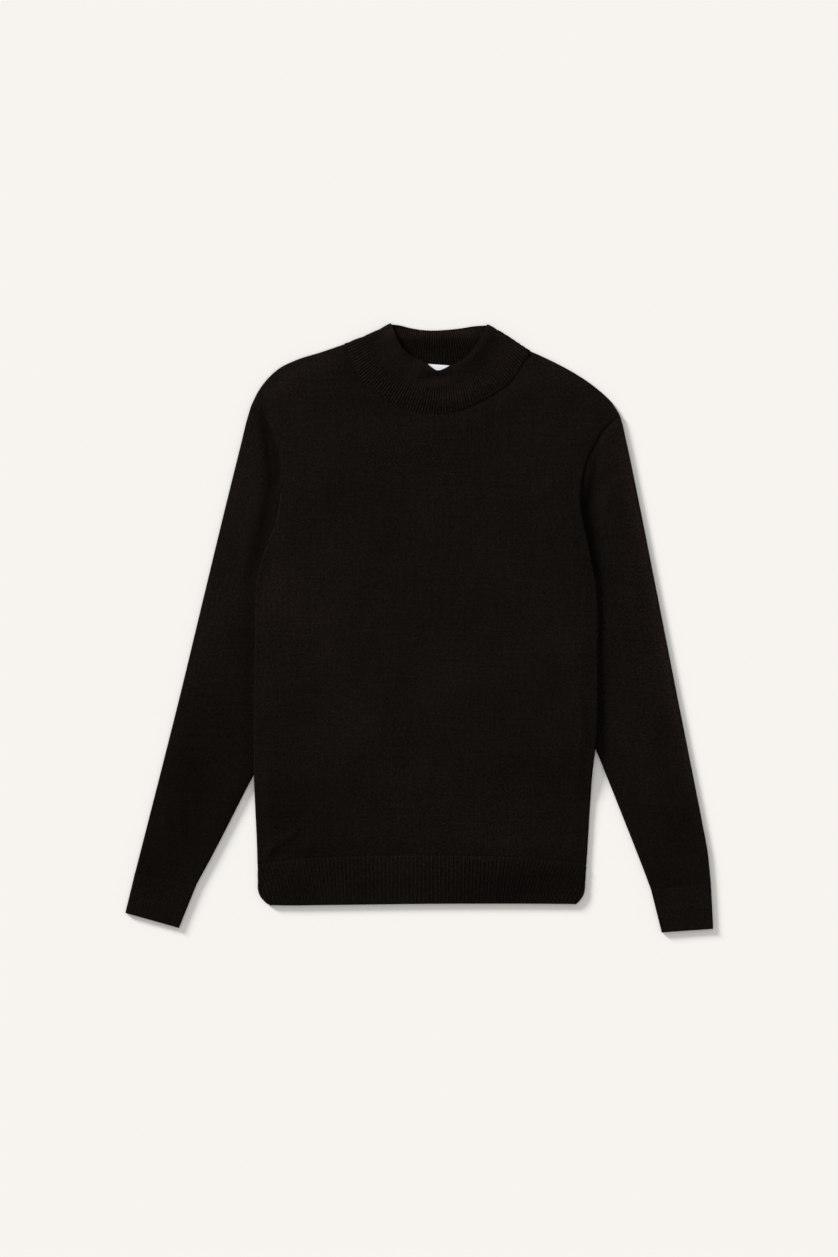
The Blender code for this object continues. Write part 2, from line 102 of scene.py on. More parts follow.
ROLL = np.array((0, 0.13, 0.5, 1.0))  # rows round a rolled edge, in fold radii
EDGE_COLUMN = 0.003  # from the edge to a last close column beside it
SEAM_DIP = 0.0004  # how far cloth turns down into a seam
SEAM_WIDTH = 0.0018
CURVE_POINTS = 400
WELD = 0.000001
CREASE_REACH = 1.25  # higher: a crease keeps its height nearer to its ends
ROUNDED_FROM, SHARP_FROM = np.radians((65, 70))  # edges that bend more are rounded off, or break the shading
FRONT_CREASES = (
    # x0, y0, x1, y1, width, height: soft pressed folds and puckers
    (-0.1960, -0.2900, -0.1760, -0.2660, 0.0042, 0.0017),
    (-0.1820, -0.2720, -0.1440, -0.2470, 0.0045, 0.0015),
    (-0.1700, -0.2820, -0.1400, -0.2700, 0.0050, 0.0005),
    (0.1900, -0.0650, 0.2060, -0.1560, 0.0060, 0.0011),
    (0.1700, -0.1000, 0.1760, -0.1900, 0.0080, 0.0006),
    (-0.1560, 0.0350, -0.1180, -0.0250, 0.0150, 0.0012),
    (-0.1350, 0.0900, -0.0900, 0.0600, 0.0120, 0.0006),
    (-0.1500, 0.1750, -0.1050, 0.1450, 0.0090, 0.0004),
    (0.1780, 0.1850, 0.1350, 0.1500, 0.0085, 0.0008),
    (0.1700, 0.1500, 0.1500, 0.0900, 0.0110, 0.0007),
    (-0.1200, 0.2950, -0.1500, 0.2500, 0.0120, 0.0008),
    (0.1500, 0.2750, 0.1750, 0.2350, 0.0100, 0.0007),
    (-0.0200, 0.0300, 0.0700, 0.0150, 0.0200, 0.0006),
    (0.0200, -0.0900, 0.1100, -0.0700, 0.0220, 0.0007),
    (-0.1000, -0.1300, -0.0200, -0.1500, 0.0200, 0.0006),
    (0.0600, -0.2300, 0.1500, -0.2450, 0.0120, 0.0006),
)
UNEVENNESS = (
    # waves per metre along x and y, phase, height
    (5.1, 3.3, 0.4, 0.00040),
    (-3.7, 8.9, 1.9, 0.00030),
    (11.3, -4.1, 3.1, 0.00022),
    (14.2, 12.7, 5.2, 0.00014),
    (-21.0, 9.5, 0.9, 0.00009),
)
PAINTED_LIGHT_AND_SHADE = (
    # x0, y0, x1, y1, width, share lighter or darker: painted light and shade, lighter where light falls,
    # darker in shade
    (-0.2400, -0.0500, -0.3200, -0.3400, 0.0450, -0.46),
    (-0.3250, -0.3000, -0.3150, -0.3800, 0.0400, -0.16),
    (-0.1690, 0.1150, -0.1660, -0.0300, 0.0280, 0.24),
    (-0.1450, 0.0700, -0.0950, -0.1500, 0.0350, 0.16),
    (-0.0700, -0.0700, -0.0300, -0.2500, 0.0350, 0.12),
    (-0.1350, 0.2200, -0.1100, 0.1150, 0.0220, 0.12),
    (0.1100, -0.0200, 0.1200, -0.2200, 0.0400, -0.10),
    (0.0900, -0.2450, 0.2000, -0.2450, 0.0260, -0.14),
    (-0.2000, 0.0800, -0.1760, 0.1000, 0.0140, -0.18),
    (0.0000, 0.2300, 0.1200, 0.2300, 0.0350, -0.08),
    (-0.2300, -0.2250, -0.0800, -0.2750, 0.0350, -0.22),
    (0.0500, -0.3250, 0.2500, -0.3050, 0.0240, -0.32),
    (-0.3000, -0.3200, 0.3000, -0.3200, 0.0280, -0.20),
    (0.1800, 0.0000, 0.1600, -0.2600, 0.0400, -0.08),
    (0.3000, -0.1800, 0.3200, -0.3600, 0.0350, -0.16),
    (0.2370, 0.3000, 0.3540, -0.2750, 0.0105, 0.85),
    (0.2500, 0.2800, 0.2520, 0.1500, 0.0150, 0.42),
    (0.2300, 0.2450, 0.2240, 0.1300, 0.0110, 0.36),
    (0.2560, 0.1900, 0.2640, -0.0100, 0.0160, 0.14),
    (0.2400, -0.1400, 0.2760, -0.2800, 0.0140, -0.14),
    (-0.1970, 0.2350, -0.2160, 0.0300, 0.0120, 0.14),
    (-0.2080, 0.0500, -0.2260, -0.1000, 0.0150, -0.17),
    (-0.3200, -0.1850, -0.3450, -0.3400, 0.0100, -0.17),
    (-0.2350, 0.2550, -0.0700, 0.3550, 0.0150, 0.36),
    (0.1200, 0.3500, 0.2600, 0.2600, 0.0120, 0.22),
    (-0.0500, 0.3600, 0.0950, 0.3600, 0.0070, 1.00),
    (-0.0250, 0.3400, 0.0700, 0.3400, 0.0160, 0.34),
    (0.0420, 0.3240, 0.0760, 0.3560, 0.0055, -0.22),
    (-0.1000, 0.3400, -0.0100, 0.2700, 0.0220, -0.12),
    (-0.0900, 0.2700, 0.1200, 0.2650, 0.0150, -0.14),
    (0.2500, 0.2480, 0.2450, 0.1900, 0.0100, 0.15),
    (0.2860, 0.0050, 0.3190, -0.1800, 0.0120, 0.13),
    (0.2490, 0.1600, 0.2760, -0.0500, 0.0140, 0.09),
    (-0.2080, 0.1650, -0.2360, 0.0400, 0.0140, 0.10),
    (-0.2280, 0.0300, -0.2450, -0.0650, 0.0160, -0.12),
    (-0.2480, -0.1050, -0.2620, -0.1750, 0.0200, 0.15),
    (-0.1920, 0.0880, -0.1860, 0.0580, 0.0080, -0.20),
    (-0.1120, 0.0650, -0.1050, -0.1000, 0.0200, 0.13),
    (-0.1350, 0.1700, -0.1200, 0.0900, 0.0160, 0.10),
    (-0.1450, -0.1950, -0.0950, -0.2500, 0.0220, -0.09),
    (-0.0080, -0.2400, 0.0120, -0.3000, 0.0160, 0.12),
    (0.0850, -0.2950, 0.1950, -0.2950, 0.0160, -0.11),
    (0.0150, 0.2780, 0.1000, 0.3080, 0.0080, 0.14),
    (0.0600, 0.3280, 0.1000, 0.3500, 0.0070, 0.12),
    (-0.0750, 0.3320, -0.0150, 0.2920, 0.0140, -0.11),
    (-0.1690, 0.2750, -0.1650, 0.2100, 0.0070, 0.13),
    (-0.1740, 0.0600, -0.1740, -0.0100, 0.0080, 0.12),
    (-0.0850, 0.0450, -0.0800, -0.0250, 0.0160, 0.09),
    (-0.1760, -0.1000, -0.1780, -0.1850, 0.0140, -0.10),
    (0.1380, 0.0250, 0.1450, -0.0700, 0.0220, -0.07),
    (0.1780, -0.0050, 0.1830, -0.0850, 0.0100, 0.12),
    (0.0700, -0.1450, 0.0720, -0.2200, 0.0180, 0.08),
    (-0.0500, -0.1350, -0.0480, -0.2100, 0.0180, 0.07),
    # the armholes' seams: the left one catches the light, the right one lies in its own shade
    (-0.1860, 0.2600, -0.1670, 0.2010, 0.0022, 0.32),
    (-0.1690, 0.2300, -0.1695, 0.1450, 0.0022, 0.32),
    (-0.1680, 0.1650, -0.1990, 0.0600, 0.0022, 0.30),
    (0.2490, 0.2650, 0.2190, 0.2320, 0.0022, -0.30),
    (0.2260, 0.2450, 0.2030, 0.1980, 0.0022, -0.26),
    (0.2080, 0.2150, 0.1975, 0.1700, 0.0022, -0.30),
    # painted shade beside the body's edges, where the sleeves go under
    (-0.1955, 0.2850, -0.1810, 0.1600, 0.0060, -0.52),
    (-0.1790, 0.1950, -0.2190, 0.0250, 0.0070, -0.44),
    (-0.1850, 0.1600, -0.2060, 0.0100, 0.0080, -0.18),
    (-0.2085, 0.0700, -0.2110, -0.2300, 0.0070, -0.28),
    (0.2180, 0.2350, 0.2030, 0.1350, 0.0060, -0.48),
    (0.2030, 0.1800, 0.2230, 0.0400, 0.0080, -0.56),
    (0.2240, 0.0800, 0.2250, -0.2100, 0.0060, -0.38),
)
YARN_DARK = (0.0034, 0.0022, 0.0015, 1)
YARN_LIGHT = (0.0116, 0.0084, 0.0062, 1)
JERSEY_WALE = 0.0018
JERSEY_COURSE = 0.0013
JERSEY_RELIEF = 0.00035
JERSEY_PATCH = 0.10
LEG_SLOPE = 0.6  # how far a loop's leg climbs from the V's foot, in courses
STRAND_ROUND, LEG_ROUND, CROWN_ROUND = 2.2, 2.5, 0.6
STREAK_SCALES = ((12.0, 620.0, 1.0), (480.0, 14.0, 1.0))  # noise waves a metre, along courses and wales
GRAIN_SCALE, FUZZ_SCALE = 400.0, 2600.0
STITCH_SHADE = 0.5
YARN_SHADES = (("Patches", 0.5), ("Streaks", 0.8), ("Grain", 1.6))
SHADE_START = 1.36  # taken off their sum, so that it runs from the dark yarn tone to the light one
GAP_TONE, CROWN_TONE = 0.62, 1.12  # painted shade between the loops, and lighter on their crowns
ROUGHNESS, FUZZ_ROUGHNESS = 0.80, 0.12
FUZZ_HEIGHT = 0.35
KNIT_SHEEN = {
    "Specular IOR Level": 0.02, "Sheen Weight": 0.003, "Sheen Roughness": 0.6,
    "Sheen Tint": (1.0, 0.86, 0.76, 1),
}


def lengths(curve):
    """How far along the curve each of its points lies."""
    return np.concatenate([[0], np.cumsum(np.linalg.norm(np.diff(curve, axis=0), axis=1))])


def smooth(points):
    """A dense, smooth curve through the points."""
    points = np.array(points, dtype=float)
    run = lengths(points)
    slope = np.gradient(points, run, axis=0)
    places = np.linspace(0, run[-1], CURVE_POINTS)
    start = np.clip(np.searchsorted(run, places, side="right") - 1, 0, len(run) - 2)
    step = (run[start + 1] - run[start])[:, None]
    share = (places - run[start])[:, None] / step
    return (
        (1 + 2 * share) * (1 - share) ** 2 * points[start]
        + share * (1 - share) ** 2 * step * slope[start]
        + share**2 * (3 - 2 * share) * points[start + 1]
        + share**2 * (share - 1) * step * slope[start + 1]
    )


def beside(curve, distance):
    """The curve moved to the left of its own direction."""
    way = np.gradient(curve, axis=0)
    way /= np.linalg.norm(way, axis=1)[:, None]
    return curve + distance * np.stack([-way[:, 1], way[:, 0]], axis=1)


def along(curve, shares, aside=0.0):
    """Places at the given shares of the curve's length, moved aside to the left of its direction."""
    run = lengths(curve)
    at = np.asarray(shares, dtype=float) * run[-1]
    moved = beside(curve, aside)
    return np.stack([np.interp(at, run, moved[:, axis]) for axis in range(2)], axis=1)


def share_of(curve):
    """The share of the curve's length at which each of its points lies."""
    return lengths(curve) / lengths(curve)[-1]


def patch(bottom, top, left, right, across, up):
    """Rows of places that fill four border curves (a Coons patch)."""
    u = np.asarray(across)[None, :, None]
    v = np.asarray(up)[:, None, None]
    corners = (
        (1 - u) * (1 - v) * bottom[0] + u * (1 - v) * bottom[-1] + (1 - u) * v * top[0] + u * v * top[-1]
    )
    return (1 - v) * bottom + v * top + (1 - u) * left[:, None] + u * right[:, None] - corners


def ease(share):
    """0 to 1 and level at both ends."""
    share = np.clip(share, 0, 1)
    return share * share * (3 - 2 * share)


def steps(length, step, first=(), last=()):
    """Shares of a length in even steps, with closer places (in metres) near its first or last end."""
    near, far = np.array(first) / length, 1 - np.array(last)[::-1] / length
    start, end = (near[-1] if len(near) else 0), (far[0] if len(far) else 1)
    even = np.linspace(start, end, max(2, round((end - start) * length / step) + 1))
    return np.concatenate([near[:-1], even, far[1:]])


def distance_to(places, curve):
    """The distance from each place to the nearest point of the curve."""
    flat = places[..., :2].reshape(-1, 2)
    nearest = np.full(len(flat), np.inf)
    for start, end in zip(curve[:-1], curve[1:]):
        way = end - start
        share = np.clip((flat - start) @ way / (way @ way), 0, 1)
        nearest = np.minimum(nearest, ((start + share[:, None] * way - flat) ** 2).sum(axis=1))
    return np.sqrt(nearest).reshape(places.shape[:-1])


def side_line(side):
    """The body's left or right side, from the hem rib up to the underarm."""
    column = {"left": 1, "right": 2}[side]
    return smooth([(row[column], row[0]) for row in BODY_SIDES])


def edge_lift(side, y):
    """Height of the body's edge, and of the armhole, over its resting height."""
    rows = np.array(LIFT)
    return np.interp(y, rows[:, 0], rows[:, {"left": 1, "right": 2}[side]])


def front_lift(places):
    """Height of the front over its resting height: it bridges from one tucked sleeve to the other."""
    edges = [np.concatenate([side_line(side), smooth(ARMHOLES[side])[1:]]) for side in ("left", "right")]
    left, right = (np.interp(places[..., 1], edge[:, 1], edge[:, 0]) for edge in edges)
    across = (places[..., 0] - left) / (right - left)
    heights = (edge_lift(side, places[..., 1]) for side in ("left", "right"))
    return sum(
        height * (1 - ease(share)) ** FRONT_SAG for height, share in zip(heights, (across, 1 - across))
    )


def creased(places, creases):
    """Height of the soft folds: each is a low ridge along a line that dies away at both ends."""
    total = np.zeros(places.shape[:-1])
    for x0, y0, x1, y1, width, height in creases:
        start, way = np.array((x0, y0)), np.array((x1 - x0, y1 - y0))
        share = (places[..., :2] - start) @ way / (way @ way)
        on_line = start + np.clip(share, 0, 1)[..., None] * way
        gap = np.linalg.norm(places[..., :2] - on_line, axis=-1)
        total += height * np.exp(-((gap / width) ** 2)) * ease(CREASE_REACH - 2 * np.abs(share - 0.5))
    return total


def uneven(places, share=1.0):
    """Height of the gentle unevenness that pressed cloth keeps, never below zero."""
    x, y = places[..., 0], places[..., 1]
    total = sum(
        height * (1 + np.sin(2 * np.pi * (across * x + up * y) + phase))
        for across, up, phase, height in UNEVENNESS
    )
    return share * total


def roll(fold, shares, radius, aside, turns):
    """Places round a rolled edge at shares of its fold, from the fold in to where the cloth lies level."""
    reaches = aside * radius * (1 - np.cos(turns))
    return np.stack([along(fold, shares, reach) for reach in reaches], axis=1)


def seam_dip(from_seam):
    """How far cloth turns down beside a seam."""
    return SEAM_DIP * (1 - ease(from_seam / SEAM_WIDTH))


def turned_in(from_fold, from_seam, radius):
    """How far a panel turns in towards the one that it lies on, round a fold and into a seam."""
    rolled = np.clip(1 - from_fold / radius, 0, 1)
    return radius * (1 - np.sqrt(1 - rolled**2)) + seam_dip(from_seam)


def rib_line(shares):
    """The gently arched line where the hem rib starts."""
    left, right = BODY_SIDES[0][1], BODY_SIDES[0][2]
    shares = np.asarray(shares)
    arch = RIB_TOP_MIDDLE - (RIB_TOP_MIDDLE - BODY_SIDES[0][0]) * np.abs(2 * shares - 1) ** 3
    return np.stack([left + (right - left) * shares, arch], axis=1)


def neck_line(half):
    """The front's or the back's neck seam, from one shoulder to the other."""
    ends = SHOULDERS["left"][-1], SHOULDERS["right"][-1]
    return smooth([ends[0], *NECK_SEAMS[half], ends[1]])


def panel(half, step):
    """The front or the back: a patch under each shoulder and, between them, one under the neckline.

    Each comes with the height of the back's cloth over the floor, how far the cloth turns in at folds and
    seams, and the share of its waves that it has.
    """
    radius = LAYER_RISE / 2
    neck_length = lengths(neck_line(half))[-1]
    neck_rows = round(NECK_DOWN[0] * neck_length / step)
    patches, posts = [], []
    for side, end in (("left", 0), ("right", 1)):
        shoulder, armhole, body_edge = smooth(SHOULDERS[side]), smooth(ARMHOLES[side]), side_line(side)
        across = steps(SHOULDER_LENGTH, step, [*(ROLL * radius), EDGE_COLUMN])
        edge_up = steps(SIDE_LENGTH, step, (0, SEAM_WIDTH / 3, SEAM_WIDTH))
        arm_up = steps(ARMHOLE_LENGTH, step, (), ROLL * radius)[1:]
        edge = np.concatenate([along(body_edge, edge_up), along(armhole, arm_up)])
        up = share_of(edge)
        top = along(shoulder, across)
        foot = rib_line([POSTS[end]])[0]
        side_neck = np.linspace(0, 1, neck_rows + 1)[1:] * NECK_DOWN[0]
        side_neck = along(neck_line(half), 1 - side_neck if end else side_neck)
        straight = up[: len(up) - neck_rows] / up[len(up) - neck_rows - 1]
        post = np.concatenate(
            [foot + (side_neck[-1] - foot) * straight[:, None], side_neck[-2::-1], top[-1:]]
        )
        posts.append(post[: len(straight)])
        shares = end + (POSTS[end] - end) * across
        rows = patch(rib_line(shares), top, edge, post, across, up)
        patches.append(rows[:, ::-1] if end else rows)
    across = steps((POSTS[1] - POSTS[0]) * BODY_WIDTH, step)
    top = along(neck_line(half), NECK_DOWN[0] + (NECK_DOWN[1] - NECK_DOWN[0]) * across)
    bottom = rib_line(POSTS[0] + (POSTS[1] - POSTS[0]) * across)
    patches.append(patch(bottom, top, *posts, across, straight))

    folds = [side_line("left"), side_line("right"), smooth(SHOULDERS["left"]), smooth(SHOULDERS["right"])]
    seams = [smooth(ARMHOLES["left"]), smooth(ARMHOLES["right"]), neck_line(half)]
    seams.append(rib_line(np.linspace(0, 1, CURVE_POINTS // 2)))
    for rows in patches:
        from_fold = np.min([distance_to(rows, fold[::4]) for fold in folds], axis=0)
        from_seam = np.min([distance_to(rows, seam[::4]) for seam in seams], axis=0)
        level = ease(np.minimum(from_fold, from_seam) / BODY_LEVEL)
        under = JERSEY / 2 + uneven(rows[..., ::-1], UNDER_WAVES) * level
        yield rows, under, turned_in(from_fold, from_seam, radius), level


def laid(rows, height):
    """A patch at its height, with its cloth metres, which run up the body from the hem, and no ribs."""
    return np.dstack([rows, height]), rows + 0.5, 0


def front_parts():
    """The front's patches, which bridge from sleeve to sleeve in soft waves and turn down at their folds."""
    for rows, under, turned, level in panel("front", FRONT_STEP):
        waves = level * (uneven(rows) + creased(rows, FRONT_CREASES))
        yield laid(rows, under + (front_lift(rows) + LAYER_RISE - turned) + waves)


def placed(name, data):
    """A mesh, light or camera put into the scene as an object."""
    thing = bpy.data.objects.new(name, data)
    bpy.context.scene.collection.objects.link(thing)
    return thing


def cloth(name, parts, wall, material, rounded=0.0, tube=False):
    """A knitted sheet with its wall, from grids of places, cloth metres and strengths of painted groove
    shade.
    """
    shape = bmesh.new()
    metres_map = shape.loops.layers.uv.new("cloth")
    # each point keeps the strength of its painted groove shade, and the painted light and shade of strokes
    # over it
    marks = [shape.verts.layers.float.new(mark) for mark in ("painted_groove_shade", "painted_light_and_shade")]
    for places, metres, groove_shades in parts:
        verts = [[shape.verts.new(place) for place in row] for row in places]
        for mark, values in zip(marks, (np.broadcast_to(groove_shades, places.shape[:2]), creased(places, PAINTED_LIGHT_AND_SHADE))):
            for vert, value in zip(sum(verts, []), values.flat):
                vert[mark] = value
        count = len(verts[0])
        for low in range(len(verts) - 1):
            for here in range(count if tube else count - 1):
                after = (here + 1) % count
                corners = (verts[low][here], verts[low][after], verts[low + 1][after], verts[low + 1][here])
                face = shape.faces.new(corners)
                spots = ((low, here), (low, here + 1), (low + 1, here + 1), (low + 1, here))
                for loop, spot in zip(face.loops, spots):
                    loop[metres_map].uv = metres[spot]
    bmesh.ops.remove_doubles(shape, verts=shape.verts, dist=WELD)
    mesh = bpy.data.meshes.new(name)
    shape.to_mesh(mesh)
    shape.free()
    piece = placed(name, mesh)
    thick = piece.modifiers.new("Wall", "SOLIDIFY")
    thick.thickness = wall
    thick.offset = 0
    thick.use_quality_normals = True
    if rounded:
        rim = piece.modifiers.new("Rounded rim", "BEVEL")
        rim.width = rounded
        rim.segments = 3
        rim.limit_method = "ANGLE"
        rim.angle_limit = ROUNDED_FROM
    bpy.context.view_layer.update()
    done = bpy.data.meshes.new_from_object(piece.evaluated_get(bpy.context.evaluated_depsgraph_get()))
    piece.modifiers.clear()
    piece.data = done
    done.name = name
    done.shade_smooth()
    done.set_sharp_from_angle(angle=SHARP_FROM)
    piece.location = GARMENT_PLACE
    done.materials.clear()
    done.materials.append(material)
    return piece


def feed(tree, socket, term):
    """Gives a socket another node's output, or a number, colour or vector."""
    if isinstance(term, bpy.types.NodeSocket):
        tree.links.new(term, socket)
    else:
        socket.default_value = term


def maths(tree, operation, *terms):
    """The value of a Math node fed by numbers and other values."""
    node = tree.nodes.new("ShaderNodeMath")
    node.operation = operation
    for socket, term in zip(node.inputs, terms):
        feed(tree, socket, term)
    return node.outputs[0]


def mixed(tree, blend, share, first, second):
    """The colour of a Mix node fed by two colours."""
    node = tree.nodes.new("ShaderNodeMix")
    node.data_type = "RGBA"
    node.blend_type = blend
    for label, term in (("Factor", share), ("A", first), ("B", second)):
        feed(tree, node.inputs[label], term)
    return node.outputs["Result"]


def relieved(tree, height, distance):
    """The normal of a Bump node."""
    node = tree.nodes.new("ShaderNodeBump")
    node.inputs["Distance"].default_value = distance
    tree.links.new(height, node.inputs["Height"])
    return node.outputs[0]


def grouped(tree, group, given):
    """The outputs of a group placed in a material, with its named inputs fed."""
    node = tree.nodes.new("ShaderNodeGroup")
    node.node_tree = group
    for label, term in given.items():
        feed(tree, node.inputs[label], term)
    return node.outputs


def attribute(tree, name):
    """A mark that the mesh carries at each of its points."""
    node = tree.nodes.new("ShaderNodeAttribute")
    node.attribute_name = name
    return node.outputs["Fac"]


def node_group(name, inputs, outputs):
    """A shader node group with its sockets, and its input and output nodes."""
    tree = bpy.data.node_groups.new(name, "ShaderNodeTree")
    for label, kind, start in inputs:
        socket = tree.interface.new_socket(label, in_out="INPUT", socket_type=kind)
        if start is not None:
            socket.default_value = start
    for label, kind in outputs:
        tree.interface.new_socket(label, in_out="OUTPUT", socket_type=kind)
    return tree, tree.nodes.new("NodeGroupInput"), tree.nodes.new("NodeGroupOutput")


def stitch_group():
    """Plain knit: columns of slanted loop legs that meet in a V, each stitch a little lighter or darker."""
    tree, given, result = node_group(
        "Plain knit stitches",
        (
            ("Cloth", "NodeSocketVector", None),
            ("Wale", "NodeSocketFloat", JERSEY_WALE),
            ("Course", "NodeSocketFloat", JERSEY_COURSE),
            ("Leg slope", "NodeSocketFloat", LEG_SLOPE),
        ),
        (
            ("Height", "NodeSocketFloat"),
            ("Crown", "NodeSocketFloat"),
            ("Stitch shade", "NodeSocketFloat"),
        ),
    )
    spread = tree.nodes.new("ShaderNodeSeparateXYZ")
    tree.links.new(given.outputs["Cloth"], spread.inputs[0])
    wales = maths(tree, "DIVIDE", spread.outputs[0], given.outputs["Wale"])
    courses = maths(tree, "DIVIDE", spread.outputs[1], given.outputs["Course"])
    from_middle = maths(tree, "ABSOLUTE", maths(tree, "SUBTRACT", maths(tree, "FRACT", wales), 0.5))
    side = maths(tree, "MULTIPLY", from_middle, 2.0)
    slanted = maths(tree, "SUBTRACT", courses, maths(tree, "MULTIPLY", side, given.outputs["Leg slope"]))
    strand = maths(tree, "ABSOLUTE", maths(tree, "SUBTRACT", maths(tree, "FRACT", slanted), 0.5))
    leg = maths(tree, "ABSOLUTE", maths(tree, "SUBTRACT", side, 0.5))
    strand_top, leg_top = (
        maths(tree, "SUBTRACT", 1.0, maths(tree, "POWER", maths(tree, "MULTIPLY", across, 2.0), roundness))
        for across, roundness in ((strand, STRAND_ROUND), (leg, LEG_ROUND))
    )
    height = maths(tree, "MULTIPLY", strand_top, leg_top)
    tree.links.new(height, result.inputs["Height"])
    tree.links.new(maths(tree, "POWER", height, CROWN_ROUND), result.inputs["Crown"])
    stitch = tree.nodes.new("ShaderNodeCombineXYZ")
    tree.links.new(maths(tree, "FLOOR", maths(tree, "MULTIPLY", wales, 2.0)), stitch.inputs[0])
    tree.links.new(maths(tree, "FLOOR", slanted), stitch.inputs[1])
    shade = tree.nodes.new("ShaderNodeTexWhiteNoise")
    shade.noise_dimensions = "2D"
    tree.links.new(stitch.outputs[0], shade.inputs["Vector"])
    tree.links.new(shade.outputs["Value"], result.inputs["Stitch shade"])
    return tree


def yarn_group():
    """Uneven yarn and dye: soft patches, faint streaks along courses and wales, and a fine fuzz."""
    tree, given, result = node_group(
        "Uneven yarn",
        (
            ("Cloth", "NodeSocketVector", None),
            ("Place", "NodeSocketVector", None),
            ("Patch size", "NodeSocketFloat", JERSEY_PATCH),
        ),
        (
            ("Patches", "NodeSocketFloat"),
            ("Streaks", "NodeSocketFloat"),
            ("Grain", "NodeSocketFloat"),
            ("Fuzz", "NodeSocketFloat"),
        ),
    )

    def noise(vector, scale, detail):
        node = tree.nodes.new("ShaderNodeTexNoise")
        for label, term in (("Vector", vector), ("Scale", scale), ("Detail", detail)):
            feed(tree, node.inputs[label], term)
        return node.outputs[0]

    def stretched(scale):
        node = tree.nodes.new("ShaderNodeMapping")
        node.inputs["Scale"].default_value = scale
        tree.links.new(given.outputs["Cloth"], node.inputs["Vector"])
        return node.outputs[0]

    per_patch = maths(tree, "DIVIDE", 1.0, given.outputs["Patch size"])
    tree.links.new(noise(given.outputs["Place"], per_patch, 3.0), result.inputs["Patches"])
    courses, wales = (noise(stretched(scale), 1.0, 1.0) for scale in STREAK_SCALES)
    tree.links.new(maths(tree, "MULTIPLY", maths(tree, "ADD", courses, wales), 0.5), result.inputs["Streaks"])
    tree.links.new(noise(given.outputs["Cloth"], GRAIN_SCALE, 2.0), result.inputs["Grain"])
    tree.links.new(noise(given.outputs["Cloth"], FUZZ_SCALE, 3.0), result.inputs["Fuzz"])
    return tree


def plain_finish(name, settings):
    """A material, its nodes and its Principled shader with these settings."""
    material = bpy.data.materials.new(name)
    material.use_nodes = True
    shader = material.node_tree.nodes["Principled BSDF"]
    for label, value in settings.items():
        shader.inputs[label].default_value = value
    return material, material.node_tree, shader


def knit_material(name, wale, course, relief, patch_size, rib_wales=0):
    """A knitted finish: V stitches in relief, and a yarn whose shade differs by stitch, streak and patch.

    In a rib every few wales one lies hidden in a groove, darkened with painted shade.
    """
    material, tree, shader = plain_finish(name, KNIT_SHEEN)
    cloth_map = tree.nodes.new("ShaderNodeUVMap")
    cloth_map.uv_map = "cloth"
    metres = cloth_map.outputs[0]
    place = tree.nodes.new("ShaderNodeTexCoord").outputs["Object"]
    stitches = grouped(tree, KNIT, {"Cloth": metres, "Wale": wale, "Course": course})
    yarn = grouped(tree, YARN, {"Cloth": metres, "Place": place, "Patch size": patch_size})

    shade = maths(tree, "MULTIPLY", stitches["Stitch shade"], STITCH_SHADE)
    for source, share in YARN_SHADES:
        shade = maths(tree, "MULTIPLY_ADD", yarn[source], share, shade)
    colour = mixed(tree, "MIX", maths(tree, "SUBTRACT", shade, SHADE_START), YARN_DARK, YARN_LIGHT)
    # painted shade in the gaps between the loops, and a lighter tone on their crowns
    tone = maths(tree, "MULTIPLY_ADD", stitches["Crown"], CROWN_TONE - GAP_TONE, GAP_TONE)
    # in a rib, painted shade darkens the narrow grooves, as strongly as each point's mark says
    if rib_wales:
        places = {"Cloth": metres, "Pitch": rib_wales * wale, "Groove middle": wale / 2}
        ridge = grouped(tree, GROOVES, places)["Ridge"]
        above = maths(tree, "MULTIPLY_ADD", ridge, RIB_CONTRAST, -RIDGE_MEAN * RIB_CONTRAST)
        ribs = maths(tree, "MULTIPLY_ADD", above, attribute(tree, "painted_groove_shade"), 1.0)
        tone = maths(tree, "MULTIPLY", tone, ribs)
    # strokes of painted light and shade over the garment, from each point's mark
    tone = maths(tree, "MULTIPLY", tone, maths(tree, "ADD", attribute(tree, "painted_light_and_shade"), 1.0))
    grey = tree.nodes.new("ShaderNodeCombineXYZ")
    for axis in range(3):
        tree.links.new(tone, grey.inputs[axis])
    tree.links.new(mixed(tree, "MULTIPLY", 1.0, colour, grey.outputs[0]), shader.inputs["Base Color"])
    rough = maths(tree, "MULTIPLY_ADD", yarn["Fuzz"], FUZZ_ROUGHNESS, ROUGHNESS)
    tree.links.new(rough, shader.inputs["Roughness"])
    loop_height = maths(tree, "MULTIPLY_ADD", yarn["Fuzz"], FUZZ_HEIGHT, stitches["Height"])
    tree.links.new(relieved(tree, loop_height, relief), shader.inputs["Normal"])
    return material


def wear(piece, node):
    """Puts a cloth piece on the garment in place of its solid, which it hides."""
    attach(piece, "root")
    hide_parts(node)


KNIT = stitch_group()
YARN = yarn_group()
jersey = knit_material("fine_jersey", JERSEY_WALE, JERSEY_COURSE, JERSEY_RELIEF, JERSEY_PATCH)
front = cloth("front_panel", front_parts(), JERSEY, jersey)
wear(front, "front")


